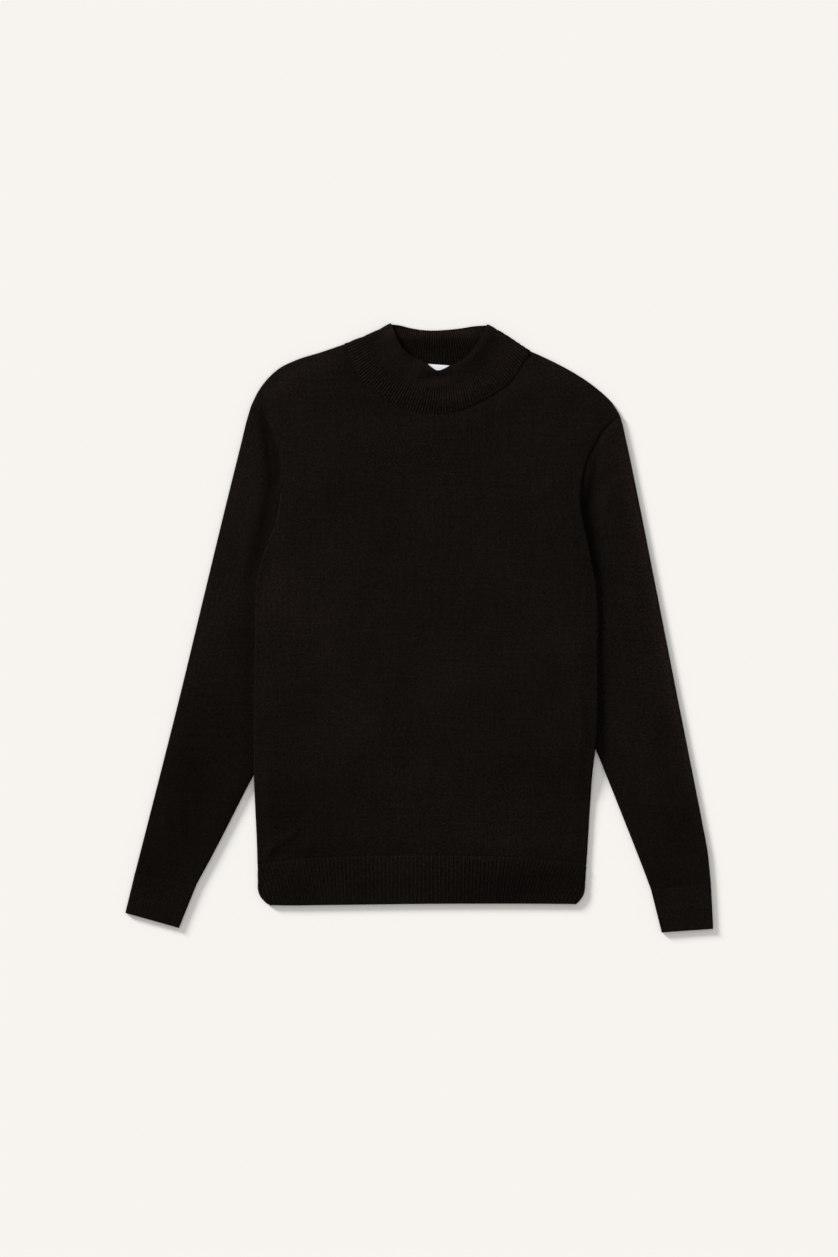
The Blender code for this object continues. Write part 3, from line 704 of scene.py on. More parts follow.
# Back
# The same fine knit, cut higher at the neck. It lies under the front with its face on the floor, and over the
# sleeves at both sides.
SLEEVE_EDGES = {  # a sleeve's inner fold, from the cuff up to the underarm: x, y
    "left": (
        (-0.2742, -0.3163), (-0.2559, -0.2827), (-0.2056, -0.1847), (-0.1505, -0.0800),
        (-0.1360, -0.0100), (-0.1400, 0.0350), (-0.1525, 0.0720), (-0.1640, 0.1070), (-0.1655, 0.1250),
        (-0.1645, 0.1400), (-0.1668, 0.1550), (-0.1688, 0.1650), (-0.1690, 0.1745),
    ),
    "right": (
        (0.2845, -0.3220), (0.2716, -0.2879), (0.2522, -0.2386), (0.2219, -0.1626), (0.1880, -0.0800),
        (0.1645, -0.0100), (0.1670, 0.0350), (0.1772, 0.0720), (0.1872, 0.1070), (0.1890, 0.1250),
        (0.1892, 0.1400), (0.1930, 0.1550), (0.1964, 0.1650), (0.1972, 0.1745),
    ),
}
BACK_STEP = 0.0065
SINK_START = 0.012  # from a tucked sleeve's edge to where the back starts to sink to the floor
SINK = 0.026


def back_lift(places):
    """Height of the back over its resting height: lifted over the sleeves, sinking inward from them."""
    x, y = places[..., 0], places[..., 1]
    total = np.zeros(x.shape)
    for side, inward in (("left", 1), ("right", -1)):
        tucked = np.concatenate([smooth(SLEEVE_EDGES[side]), smooth(ARMHOLES[side])])
        body_edge = side_line(side)
        sleeve_x = np.interp(y, tucked[:, 1], tucked[:, 0])
        edge_x = np.interp(y, body_edge[:, 1], body_edge[:, 0])
        covered = np.maximum(inward * sleeve_x, inward * edge_x)
        total += edge_lift(side, y) * (1 - ease((inward * x - covered - SINK_START) / SINK))
    return total


def back_parts():
    """The back's patches, which turn up at their folds."""
    for rows, under, turned, _ in panel("back", BACK_STEP):
        yield laid(rows, under + (back_lift(rows) + turned))


back = cloth("back_panel", back_parts(), JERSEY, jersey)
wear(back, "back")


# Sleeves
# Each is one piece of the same knit, narrowing to the cuff, closed by a seam along its inner fold and set
# into the armhole. It lies a little puffed, tucked behind the body's side, with soft waves across it.
SLEEVE_RISE = 0.0023  # from the middle of the lower layer to the middle of the upper one
SLEEVE_PUFF = 0.0024
PUFF_SHAPE = {"left": 0.7, "right": 1.7}  # lower: the puff starts more steeply at the folds
PUFF_RISE = 0.025  # from the armhole to where the puff is full
PUFF_FALL = 0.07  # from the cuff to there
SLEEVE_WAVES, SLEEVE_UNDER_WAVES = 0.45, 0.2  # shares of the body's unevenness
SLEEVE_LEVEL = 0.012  # from a seam to where the sleeve's waves reach their full height
SLEEVE_SETTLE = 0.068  # share of a sleeve's inner edge over which it sinks from the armhole to the floor
SLEEVE_BOW = 0.2  # share of a sleeve over which the armhole's curve dies away at its outer edge
BOW_SLANT = 0.88  # how much sooner it dies away at the inner edge
SEAM_TUCK = 0.02  # share of a sleeve's edges that is drawn in to the underarm and to the shoulder's tip
ARMHOLE_DIP = 0.0018  # how far the sleeve's head dips towards its seam, beside the underarm
ARMHOLE_DIP_WIDTH = 0.010
ARMHOLE_DIP_LIFT = 0.0052  # where the armhole is lifted less than this, the dip is shallower
ARMHOLE_DIP_LEAST = 0.75  # the share of the dip that is left at the shoulder's tip
TUBE_TURNS = np.radians((0, 25, 50, 70, 90))
FOLD_RISES = {"waves": 2.2, "dips": 6, "seam": 3, "underside": 2}  # how soon each starts inside the folds
SLEEVE_FOLDS = {  # outer fold, from the cuff up to the shoulder: x, y
    "left": (
        (-0.3479, -0.3022), (-0.3249, -0.2119), (-0.2940, -0.0894), (-0.2645, 0.0331),
        (-0.2349, 0.1556), (-0.2167, 0.2291), (-0.2107, 0.2536), (-0.2055, 0.2708),
    ),
    "right": (
        (0.3563, -0.3124), (0.3521, -0.2732), (0.3466, -0.2438), (0.3307, -0.1629), (0.3161, -0.0894),
        (0.2920, 0.0331), (0.2677, 0.1556), (0.2524, 0.2291), (0.2466, 0.2536), (0.2443, 0.2600),
    ),
}
RING_SHARES = np.array((
    # outer fold, inner fold: shares of each down from the armhole
    (0.002, 0.000), (0.050, 0.017), (0.100, 0.034), (0.152, 0.068), (0.200, 0.098), (0.255, 0.132),
    (0.310, 0.172), (0.365, 0.217), (0.430, 0.285), (0.505, 0.370), (0.590, 0.465), (0.675, 0.570),
    (0.760, 0.675), (0.845, 0.780), (0.925, 0.885), (1.000, 1.000),
))
SLEEVE_STEP = 0.0042
SLEEVE_COLUMNS = 26
SLEEVE_ENDS = (0, 0.001, 0.0025)  # close rings at both ends
SLEEVE_CREASES = {
    "left": (
        (-0.2960, -0.2080, -0.2850, -0.2870, 0.0050, 0.0010),
        (-0.2800, -0.2000, -0.2700, -0.2650, 0.0045, 0.0008),
        (-0.3100, -0.2150, -0.3060, -0.2750, 0.0060, 0.0007),
        (-0.2420, 0.0300, -0.2300, -0.0500, 0.0090, 0.0008),
        (-0.2250, 0.1300, -0.2050, 0.0900, 0.0080, 0.0007),
        (-0.2100, 0.2000, -0.1900, 0.1650, 0.0070, 0.0007),
        (-0.2700, -0.0500, -0.2400, -0.0800, 0.0120, 0.0006),
        (-0.3000, -0.1500, -0.2500, -0.1650, 0.0100, 0.0006),
        (-0.3200, -0.2750, -0.2900, -0.2900, 0.0040, 0.0006),
    ),
    "right": (
        (0.2950, -0.2950, 0.3450, -0.2880, 0.0022, 0.0008),
        (0.2980, -0.3060, 0.3350, -0.3020, 0.0018, 0.0007),
        (0.3050, -0.2780, 0.3420, -0.2690, 0.0030, 0.0007),
        (0.3250, -0.1950, 0.3150, -0.2600, 0.0060, 0.0007),
        (0.2950, -0.1000, 0.2800, -0.1700, 0.0080, 0.0006),
        (0.2500, 0.0800, 0.2700, 0.0150, 0.0090, 0.0007),
        (0.2350, 0.1700, 0.2200, 0.1350, 0.0080, 0.0007),
        (0.2300, 0.0300, 0.2650, -0.0100, 0.0120, 0.0006),
        (0.2750, -0.0300, 0.3000, -0.0800, 0.0100, 0.0006),
    ),
}


def tube_rings(layers, rest, radius, stands):
    """A flat tube's rings: across its upper layer from fold to fold, then back across its lower layer."""
    closed = []
    for layer, rows, stand in zip((1, -1), layers, stands):
        turned = np.sin(TUBE_TURNS)
        level = np.ones(rows.shape[1] - 2 * len(turned))
        half = radius * np.concatenate([turned, level, turned[::-1]])
        height = np.broadcast_to(rest + radius + layer * half + stand, rows.shape[:2])
        closed.append(np.dstack([rows, height]))
    return np.concatenate([closed[0], closed[1][:, -2:0:-1]], axis=1)


def round_metres(rings):
    """Cloth metres of closed rings: round each ring, and along the tube."""
    joined = np.concatenate([rings, rings[:, :1]], axis=1)
    round_ring = np.cumsum(np.linalg.norm(np.diff(joined, axis=1), axis=2), axis=1).mean(axis=0)
    down = np.cumsum(np.linalg.norm(np.diff(rings, axis=0), axis=2), axis=0).mean(axis=1)
    across = np.concatenate([[0], round_ring])
    return np.dstack(np.meshgrid(across, -np.concatenate([[0], down])))


def spanned(left, right, across):
    """A flat tube's layer between its rolled folds, and how far across it each column lies."""
    start, end = left[:, -1:], right[:, -1:]
    middle = start + (end - start) * across[None, :, None]
    places = np.concatenate([left, middle, right[:, ::-1]], axis=1)
    folded = np.zeros(len(TUBE_TURNS))
    return places, np.concatenate([folded, across, folded + 1])


def inside(arch, kind):
    """0 at a tube's two folds and 1 a little way in."""
    return np.minimum(1, FOLD_RISES[kind] * arch)


def sleeve(side):
    """A sleeve from the armhole down to the cuff's seam, lifted with the armhole at the underarm."""
    outer, inner = smooth(SLEEVE_FOLDS[side])[::-1], smooth(SLEEVE_EDGES[side])[::-1]
    inward = {"left": 1, "right": -1}[side]
    knots = np.linspace(0, 1, len(RING_SHARES))
    at = steps(lengths(outer)[-1], SLEEVE_STEP, SLEEVE_ENDS, SLEEVE_ENDS)
    rings = np.stack([np.interp(at, knots, RING_SHARES[:, column]) for column in range(2)], axis=1)
    radius = SLEEVE_RISE / 2
    left = roll(outer, rings[:, 0], radius, inward, TUBE_TURNS)
    right = roll(inner, rings[:, 1], radius, -inward, TUBE_TURNS)
    armhole = smooth(ARMHOLES[side])[::-1]
    tucked = 1 - ease(rings / SEAM_TUCK)[..., None, None]
    tip = along(armhole, radius * (1 - np.cos(TUBE_TURNS)) / ARMHOLE_LENGTH)
    left = left + (tip - left[0]) * tucked[:, 0]
    right = right + (armhole[-1] - right[0, -1]) * tucked[:, 1]
    across = np.linspace(0, 1, SLEEVE_COLUMNS + 2)[1:-1]
    places, crossed = spanned(left, right, across)
    middle = places[:, len(TUBE_TURNS) : -len(TUBE_TURNS)]
    bow = 1 - ease(rings[:, 1:] / (SLEEVE_BOW * (1 - BOW_SLANT * across)))
    middle += bow[..., None] * (along(armhole, across) - middle[0])
    armhole_lift = edge_lift(side, places[0, :, 1])
    lift = armhole_lift * (1 - ease(rings[:, 1:] / SLEEVE_SETTLE))

    from_seam = distance_to(places, armhole[::4])
    from_cuff = distance_to(places, np.stack([places[-1, 0], places[-1, -1]]))
    arch = np.sin(np.pi * crossed)
    relief = creased(places, SLEEVE_CREASES[side]) + uneven(places, SLEEVE_WAVES)
    relief *= ease(np.minimum(from_seam, from_cuff) / SLEEVE_LEVEL) * inside(arch, "waves")
    puffed = ease(from_cuff / PUFF_FALL) * ease(from_seam / PUFF_RISE)
    relief += SLEEVE_PUFF * arch ** PUFF_SHAPE[side] * puffed
    dip = ARMHOLE_DIP * (1 - ease(from_seam / ARMHOLE_DIP_WIDTH)) * inside(arch, "dips")
    dip *= np.clip(armhole_lift / ARMHOLE_DIP_LIFT, ARMHOLE_DIP_LEAST, 1)
    relief -= dip
    relief -= seam_dip(from_cuff) * inside(arch, "seam")
    under = uneven(places[..., ::-1], SLEEVE_UNDER_WAVES) * inside(arch, "underside")
    under *= ease(from_cuff / SLEEVE_LEVEL)
    under -= np.minimum(dip, lift)
    rows = tube_rings((places, places), JERSEY / 2, radius, (lift + relief, lift + under))
    rows = rows if side == "left" else rows[::-1]
    return cloth(f"sleeve_{side}_tube", [(rows, round_metres(rows), 0)], JERSEY, jersey, tube=True)


sleeves = {side: sleeve(side) for side in SLEEVE_FOLDS}
for side, piece in sleeves.items():
    wear(piece, f"sleeve_{side}")


# Cuffs
# A tube of fine one-by-one rib, linked to the sleeve's end and pressed nearly smooth.
RIB = 0.0018
RIB_RISE = 0.0021
RIB_WALE = 0.0017
RIB_COURSE = 0.0014
RIB_RELIEF = 0.00032
RIB_PATCH = 0.05
RIB_ROUND, GROOVE_ROUND = 2.4, 1.5  # how squarely a ridge stands in the mesh, and in its shade
RIB_CONTRAST = 1.6
RIDGE_MEAN = 0.6  # the mean of a ridge's shade, so that a rib is as dark as the jersey on the whole
CUFF_FOLDS = {  # from the open end up to the sleeve: x, y
    "left": {
        "outer": ((-0.3597, -0.3512), (-0.3479, -0.3022)),
        "inner": ((-0.2956, -0.3692), (-0.2845, -0.3416), (-0.2742, -0.3163)),
    },
    "right": {
        "outer": ((0.3592, -0.3705), (0.3563, -0.3124)),
        "inner": ((0.2978, -0.3750), (0.2882, -0.3369), (0.2845, -0.3220)),
    },
}
CUFF_WIDTH, CUFF_LENGTH = 0.066, 0.05
CUFF_STEP = 0.0045
CUFF_ENDS = (0, 0.0012), (0, 0.001, 0.0022)  # close rings at the open end and at the seam
CUFF_RIB_DEPTH = 0.00012
CUFF_RIB_PITCH = 0.0033
CUFF_RIM = 0.0005
RIB_COLUMNS = 8  # a rib
CUFF_RIB_SHADE = 0.15  # how dark the grooves' painted shade is, 1 at the collar
CUFF_CREASES = {
    "left": ((-0.3500, -0.3300, -0.3100, -0.3420, 0.0030, 0.0004),),
    "right": (
        (0.3050, -0.3480, 0.3450, -0.3430, 0.0022, 0.0006),
        (0.3080, -0.3330, 0.3500, -0.3300, 0.0018, 0.0005),
    ),
}


def rib_wave(ribs):
    """A rib's shape across: 1 on its broad rounded ridge, 0 in the narrow groove at either side."""
    across = np.abs(2 * (ribs % 1) - 1)
    return 1 - across**RIB_ROUND


def ribbed(places, wave, depth, tube):
    """The places moved along their cloth's normals by the rib's wave."""
    if tube:
        wrapped = np.concatenate([places[:, -1:], places, places[:, :1]], axis=1)
        across = wrapped[:, 2:] - wrapped[:, :-2]
    else:
        across = np.gradient(places, axis=1)
    up = np.gradient(places, axis=0)
    normal = np.cross(across, up)
    normal /= np.linalg.norm(normal, axis=2)[..., None]
    return places + normal * (depth * (wave - 0.5))[..., None]


def cuff(side):
    """A cuff from its open end up to the sleeve."""
    outer, inner = (smooth(CUFF_FOLDS[side][edge]) for edge in ("outer", "inner"))
    inward = {"left": -1, "right": 1}[side]
    up = steps(lengths(outer)[-1], CUFF_STEP, *CUFF_ENDS)
    radius = RIB_RISE / 2
    left = roll(outer, up, radius, inward, TUBE_TURNS)
    right = roll(inner, up, radius, -inward, TUBE_TURNS)
    columns = round(CUFF_WIDTH / CUFF_RIB_PITCH) * RIB_COLUMNS
    places, crossed = spanned(left, right, np.linspace(0, 1, columns + 1)[1:-1])
    arch = np.sin(np.pi * crossed)
    relief = creased(places, CUFF_CREASES[side]) * inside(arch, "waves")
    relief -= seam_dip((1 - up[:, None]) * CUFF_LENGTH) * inside(arch, "seam")
    rows = tube_rings((places, places), RIB / 2, radius, (relief, np.zeros_like(relief)))
    rows = rows if side == "right" else rows[::-1]
    metres = round_metres(rows)
    count = round(metres[0, -1, 0] / CUFF_RIB_PITCH)
    metres[..., 0] *= 2 * RIB_WALE * count / metres[0, -1, 0]
    rows = ribbed(rows, rib_wave(metres[:, :-1, 0] / (2 * RIB_WALE)), CUFF_RIB_DEPTH, True)
    metres[..., 0] += RIB_WALE / 2
    parts = [(rows, metres, CUFF_RIB_SHADE)]
    return cloth(f"cuff_{side}_rib", parts, RIB - CUFF_RIB_DEPTH, rib, CUFF_RIM, tube=True)


def groove_group():
    """Rib grooves: 1 on a rib's broad ridge, falling to 0 in the narrow groove beside it, where painted shade
    goes.
    """
    tree, given, result = node_group(
        "Rib grooves",
        (
            ("Cloth", "NodeSocketVector", None),
            ("Pitch", "NodeSocketFloat", 2 * RIB_WALE),
            ("Groove middle", "NodeSocketFloat", RIB_WALE / 2),
        ),
        (("Ridge", "NodeSocketFloat"),),
    )
    spread = tree.nodes.new("ShaderNodeSeparateXYZ")
    tree.links.new(given.outputs["Cloth"], spread.inputs[0])
    from_groove = maths(tree, "SUBTRACT", spread.outputs[0], given.outputs["Groove middle"])
    ribs = maths(tree, "FRACT", maths(tree, "DIVIDE", from_groove, given.outputs["Pitch"]))
    across = maths(tree, "ABSOLUTE", maths(tree, "MULTIPLY_ADD", ribs, 2.0, -1.0))
    ridge = maths(tree, "SUBTRACT", 1.0, maths(tree, "POWER", across, GROOVE_ROUND))
    tree.links.new(ridge, result.inputs["Ridge"])
    return tree


GROOVES = groove_group()
rib = knit_material("fine_rib", RIB_WALE, RIB_COURSE, RIB_RELIEF, RIB_PATCH, rib_wales=2)
cuffs = {side: cuff(side) for side in CUFF_FOLDS}
for side, piece in cuffs.items():
    wear(piece, f"cuff_{side}")


# Collar
# The mock neck: a standing band of one-by-one rib, folded double at its open edge and linked round the neck.
# Its front edge has sunk well below its back edge, so the inside of the back shows between the two folds.
BAND = 0.0022
COLLAR_RISE = 0.0025
COLLAR_HEIGHT = 0.05
COLLAR_STEP = 0.0028
COLLAR_ENDS = (0, 0.001, 0.0025), (0, 0.0012, 0.003)  # close rings at the seam and at the open edge
COLLAR_RIM = 0.0006
COLLAR_SWELL = 0.0018  # how far the middle of the front collar stands up
COLLAR_STAND = 2.3  # radians of the swell's sine, from the seam to the open edge, which stands up
COLLAR_EDGES = {  # the band's open edge between its two folds, from left to right: x, y
    "front": (
        (-0.0312, 0.3614), (-0.0209, 0.3413), (-0.0099, 0.3322), (0.0092, 0.3222), (0.0214, 0.3140),
        (0.0391, 0.3206), (0.0566, 0.3300), (0.0688, 0.3440), (0.0777, 0.3586),
    ),
    "back": (
        (-0.0245, 0.3692), (-0.0116, 0.3659), (0.0061, 0.3631), (0.0190, 0.3627), (0.0306, 0.3633),
        (0.0505, 0.3654), (0.0674, 0.3681),
    ),
}
COLLAR_FOLDS = {  # from the neck seam to the open edge: x, y
    "left": ((-0.0919, 0.3460), (-0.0562, 0.3606), (-0.0350, 0.3714)),
    "right": ((0.1356, 0.3375), (0.1158, 0.3506), (0.1004, 0.3605), (0.0832, 0.3702)),
}
COLLAR_SEAM_DIP = 0.0011  # how far the front's band comes down to the panel at its seam
COLLAR_DIP_SHARE = 0.2
COLLAR_DIP_RIGHT = 0.6  # how much of that is left at the right shoulder
COLLAR_DIP_SPREAD = 0.3  # share of the front over which it lessens, from the middle
EDGE_TURN = 0.0011  # how far the front's open edge turns down on its right half
EDGE_TURN_SHARE = 0.11
EDGE_TURN_SPREAD = 0.15  # share of the front over which it starts, from the middle
EDGE_TURN_END = 12  # how soon it ends at the right fold
BACK_SWELL = 0.0026  # how far the back's band bows up behind its open edge
BACK_SWELL_SHAPE = 2.3  # higher: the bow stands closer to the open edge
COLLAR_RIBS = 79  # across the front
COLLAR_COLUMNS = {"front": COLLAR_RIBS * RIB_COLUMNS, "back": 330}
COLLAR_RIB_DEPTH = 0.0008
RIB_FADE = 0.88  # share of the front's ribs that is pressed out at its open edge
FADE_START, FADE_LENGTH = 0.18, 0.3  # from where to how far up that happens at the left, shares of its height
FADE_LATER = 0.24  # how much later it starts from the middle on
FADE_FOLD = 0.05  # how near the two folds the ribs stay
BACK_RIB_PITCH = 0.0026  # across the inside of the back, near its open edge
BACK_RIB_SPREAD = 8.0  # how much wider the ribs stand lower down, a metre
NECK_TURN = -0.033  # radians: the neck lies a little crooked
NECK_MIDDLE = 0.0235
COLLAR_CREASES = (
    # x0, y0, x1, y1, width, height: the dip under the front's open edge, the ridge below it, the raised sides
    (0.0000, 0.3040, 0.0400, 0.3045, 0.0058, -0.0023),
    (-0.0080, 0.2935, 0.0450, 0.2950, 0.0052, 0.0013),
    (-0.0400, 0.3700, -0.0080, 0.3300, 0.0100, 0.0040),
    (0.0900, 0.3660, 0.0560, 0.3240, 0.0100, 0.0019),
    (-0.0700, 0.3300, -0.0400, 0.3050, 0.0090, 0.0005),
)


def collar_layer(half):
    """The band's front or back between and round its two folds, from the neck seam to the open edge."""
    radius = COLLAR_RISE / 2
    up = steps(COLLAR_HEIGHT, COLLAR_STEP, *COLLAR_ENDS)
    left, right = (
        roll(smooth(COLLAR_FOLDS[side]), up, radius, aside, TUBE_TURNS)
        for side, aside in (("left", -1), ("right", 1))
    )
    seam = smooth([left[0, -1], *NECK_SEAMS[half], right[0, -1]])
    edge = smooth([left[-1, -1], *COLLAR_EDGES[half], right[-1, -1]])
    across = np.linspace(0, 1, COLLAR_COLUMNS[half] + 1)
    middle = patch(along(seam, across), along(edge, across), left[:, -1], right[:, -1], across, up)
    places = np.concatenate([left[:, :-1], middle, right[:, -2::-1]], axis=1)
    rolled = np.zeros(len(TUBE_TURNS) - 1)
    return places, np.concatenate([rolled, across, rolled + 1]), up


def collar():
    """The whole band, a ring of ribs that fade towards the front's open edge."""
    (front_rows, crossed, up), (back_rows, back_crossed, _) = collar_layer("front"), collar_layer("back")
    arch = np.sin(np.pi * crossed)
    swell = COLLAR_SWELL * np.sin(COLLAR_STAND * up)[:, None] * arch
    swell = swell + creased(front_rows, COLLAR_CREASES) * inside(arch, "dips")
    lessened = (1 - COLLAR_DIP_RIGHT) * ease((crossed - 0.5) / COLLAR_DIP_SPREAD)
    dip = COLLAR_SEAM_DIP * (1 - lessened) * inside(arch, "dips")
    swell -= dip * (1 - ease(up / COLLAR_DIP_SHARE))[:, None]
    turn = EDGE_TURN * ease((crossed - 0.5) / EDGE_TURN_SPREAD) * np.minimum(1, EDGE_TURN_END * (1 - crossed))
    swell -= turn * (1 - ease((1 - up) / EDGE_TURN_SHARE))[:, None]
    bow = BACK_SWELL * np.sin(np.pi * up**BACK_SWELL_SHAPE)[:, None] * np.sin(np.pi * back_crossed)
    rows = tube_rings((front_rows, back_rows), BAND / 2, COLLAR_RISE / 2, (swell, bow))
    front_count = front_rows.shape[1]
    back_places = rows[:, front_count:, :2]
    beside_middle = back_places[..., 0] - NECK_MIDDLE
    lower = COLLAR_EDGES["back"][1][1] - back_places[..., 1]
    turned = np.cos(NECK_TURN) * beside_middle + np.sin(NECK_TURN) * lower
    back_ribs = turned / (BACK_RIB_PITCH * (1 + BACK_RIB_SPREAD * lower))
    front_ribs = np.broadcast_to(crossed * COLLAR_RIBS, front_rows.shape[:2])
    ribs = np.concatenate([front_ribs, back_ribs], axis=1)
    near_fold = 1 - ease(crossed * (1 - crossed) / FADE_FOLD)
    faded = ease((up[:, None] - FADE_START - FADE_LATER * ease(2 * crossed)) / FADE_LENGTH)
    fade = 1 - RIB_FADE * faded * (1 - near_fold)
    fade = np.concatenate([fade, np.ones(back_places.shape[:2])], axis=1)
    metres = round_metres(rows)
    metres[:, :-1, 0] = (ribs * 2 + 0.5) * RIB_WALE
    metres[:, -1, 0] = metres[:, -2, 0]
    wave = 0.5 + (rib_wave(ribs) - 0.5) * fade
    rows = ribbed(rows, wave, COLLAR_RIB_DEPTH, True)
    # the fade also sets how strong the painted shade in the grooves is
    return cloth("collar_band", [(rows, metres, fade)], BAND - COLLAR_RIB_DEPTH, rib, COLLAR_RIM, tube=True)


band = collar()
wear(band, "collar")


# Hem rib
# A band of coarser two-by-one rib under the front and another under the back, joined by the side seams that
# run down through them. The ribs fan out a little towards the rounded lower corners.
HEM_SIDES = {  # round the lower corner and up to the rib's top: x, y
    "left": (
        (-0.1820, -0.3414), (-0.1848, -0.3401), (-0.1879, -0.3381), (-0.1908, -0.3353),
        (-0.1943, -0.3306), (-0.1961, -0.3270), (-0.1973, -0.3222), (-0.1976, -0.3110),
        (-0.1978, -0.2915),
    ),
    "right": (
        (0.1909, -0.3401), (0.1944, -0.3372), (0.1977, -0.3333), (0.1995, -0.3308), (0.2012, -0.3278),
        (0.2019, -0.3232), (0.2028, -0.3111), (0.2040, -0.2915),
    ),
}
HEM_EDGE = (  # from left to right: x, y
    (-0.1820, -0.3414), (-0.1580, -0.3418), (-0.1210, -0.3414), (-0.0480, -0.3405), (0.0000, -0.3399),
    (0.0750, -0.3396), (0.1600, -0.3398), (0.1909, -0.3401),
)
HEM_HEIGHT = 0.053
HEM_STEP = 0.0032
HEM_ENDS = (0, 0.0015), (0, 0.001, 0.0022)  # close rows at the lower edge and at the seam
HEM_RIM = 0.0004
HEM_RIBS = 82
HEM_RIB_DEPTH = 0.00055
# how dark the grooves' painted shade is, 1 at the collar
HEM_RIB_SHADE = 0.3
HEM_LEAN = {"left": 0.32, "right": -0.50}  # sideways for each metre down, at the two side folds
HEM_LEAN_REACH = {"left": 0.075, "right": 0.085}
LEAN_ROUNDS = 6  # enough for the leaning ribs' starts to settle


def hem_ribs(rows):
    """The count of ribs from the left fold to each place: they lean inward beside both folds."""
    left, right = BODY_SIDES[0][1], BODY_SIDES[0][2]
    start = rows[..., 0]
    down = RIB_TOP_MIDDLE - rows[..., 1]
    for _ in range(LEAN_ROUNDS):
        lean = sum(
            HEM_LEAN[side] * np.exp(-(((start - fold) / HEM_LEAN_REACH[side]) ** 2))
            for side, fold in (("left", left), ("right", right))
        )
        start = rows[..., 0] - lean * down
    return HEM_RIBS * (start - left) / (right - left)


def hem(name, layer):
    """Half of the hem rib, under the front or the back."""
    across = np.linspace(0, 1, HEM_RIBS * RIB_COLUMNS + 1)
    up = steps(HEM_HEIGHT, HEM_STEP, *HEM_ENDS)
    sides = [along(smooth(HEM_SIDES[side]), up) for side in ("left", "right")]
    top, bottom = rib_line(across), along(smooth(HEM_EDGE), across)
    for side, end in zip(sides, (0, -1)):
        side[0], side[-1] = bottom[end], top[end]
    rows = patch(bottom, top, *sides, across, up)
    radius = RIB_RISE / 2
    folds = [smooth(HEM_SIDES[side])[::4] for side in ("left", "right")]
    from_fold = np.min([distance_to(rows, fold) for fold in folds], axis=0)
    turned = turned_in(from_fold, (1 - up[:, None]) * HEM_HEIGHT, radius)
    height = RIB / 2 + (RIB_RISE - turned if layer > 0 else turned)
    rows = np.dstack([rows, height])
    ribs = hem_ribs(rows)
    wave = rib_wave(ribs)
    metres = np.dstack([(ribs * 3 + 0.5) * RIB_WALE, rows[..., 1] + 0.5])
    rows = ribbed(rows, wave if layer > 0 else 1 - wave, HEM_RIB_DEPTH, False)
    return cloth(name, [(rows, metres, HEM_RIB_SHADE)], RIB - HEM_RIB_DEPTH, hem_rib, HEM_RIM)


hem_rib = knit_material("hem_rib", RIB_WALE, RIB_COURSE, RIB_RELIEF, RIB_PATCH, rib_wales=3)
hem_front, hem_back = hem("hem_front_rib", 1), hem("hem_back_rib", -1)
wear(hem_front, "hem_front")
wear(hem_back, "hem_back")


# Label
# A small plain white woven tab, its ends turned under and tacked into the back neck seam.
LABEL_SIZE = (0.036, 0.0115, 0.0006)
LABEL_PLACE = (0.0211, 0.3153, 0.0024)
LABEL_TURN = -0.075
LABEL_GRID = (37, 13)
LABEL_RIM = 0.0002
END_CURL, EDGE_CURL = 0.0004, 0.0002  # how far its ends and its lower edge stand up
TAPE_TONES = ((0.70, 0.70, 0.74, 1), (0.86, 0.86, 0.88, 1))  # painted shade between the threads, and lighter on them
TAPE_THREAD = 0.00035
TAPE_RELIEF = 0.00008


def woven_material():
    """White satin tape: fine warp and weft threads in relief, with painted shade between them."""
    material, tree, shader = plain_finish("white_woven_tape", {"Specular IOR Level": 0.3})
    place = tree.nodes.new("ShaderNodeTexCoord")
    spread = tree.nodes.new("ShaderNodeSeparateXYZ")
    tree.links.new(place.outputs["Object"], spread.inputs[0])
    threads = [
        maths(tree, "SINE", maths(tree, "MULTIPLY", spread.outputs[axis], 2 * np.pi / TAPE_THREAD))
        for axis in (0, 1)
    ]
    weave = maths(tree, "MULTIPLY_ADD", maths(tree, "MULTIPLY", *threads), 0.5, 0.5)
    # painted shade between the threads, lighter on them
    tree.links.new(mixed(tree, "MIX", weave, *TAPE_TONES), shader.inputs["Base Color"])
    tree.links.new(maths(tree, "MULTIPLY_ADD", weave, 0.1, 0.5), shader.inputs["Roughness"])
    tree.links.new(relieved(tree, weave, TAPE_RELIEF), shader.inputs["Normal"])
    return material


def woven_tab():
    """The tab: a thin strip with a slight curl at its lower corners and rounded edges."""
    width, depth, wall = LABEL_SIZE
    x, y = np.meshgrid(*[np.linspace(-0.5, 0.5, count) for count in LABEL_GRID])
    curl = END_CURL * np.abs(2 * x) ** 4 + EDGE_CURL * (0.5 - y) ** 2
    places = np.dstack([x * width, y * depth, curl])
    tab = cloth("neck_label", [(places, places[..., :2], 0)], wall, woven_material(), LABEL_RIM)
    tab.rotation_euler.z = LABEL_TURN
    tab.location = GARMENT_PLACE + Vector(LABEL_PLACE)
    return tab


tab = woven_tab()
wear(tab, "label")


# Linking stitches
# The seams' own loops, seen as small slanted grains of yarn in the groove between two pieces: round the neck,
# down both armholes, across both cuffs and along the top of the hem rib.
STITCH_PITCH = 0.0021
STITCH_SIZE = (0.0021, 0.0008, 0.0007)
STITCH_SLANT = 0.9  # radians from the seam's own direction
LOOK_AHEAD = 0.0005
LOOP_FACES = {"u_segments": 8, "v_segments": 6}
YARN_WALE = 0.0006
YARN_RELIEF = 0.0001
YARN_PATCH = 0.03


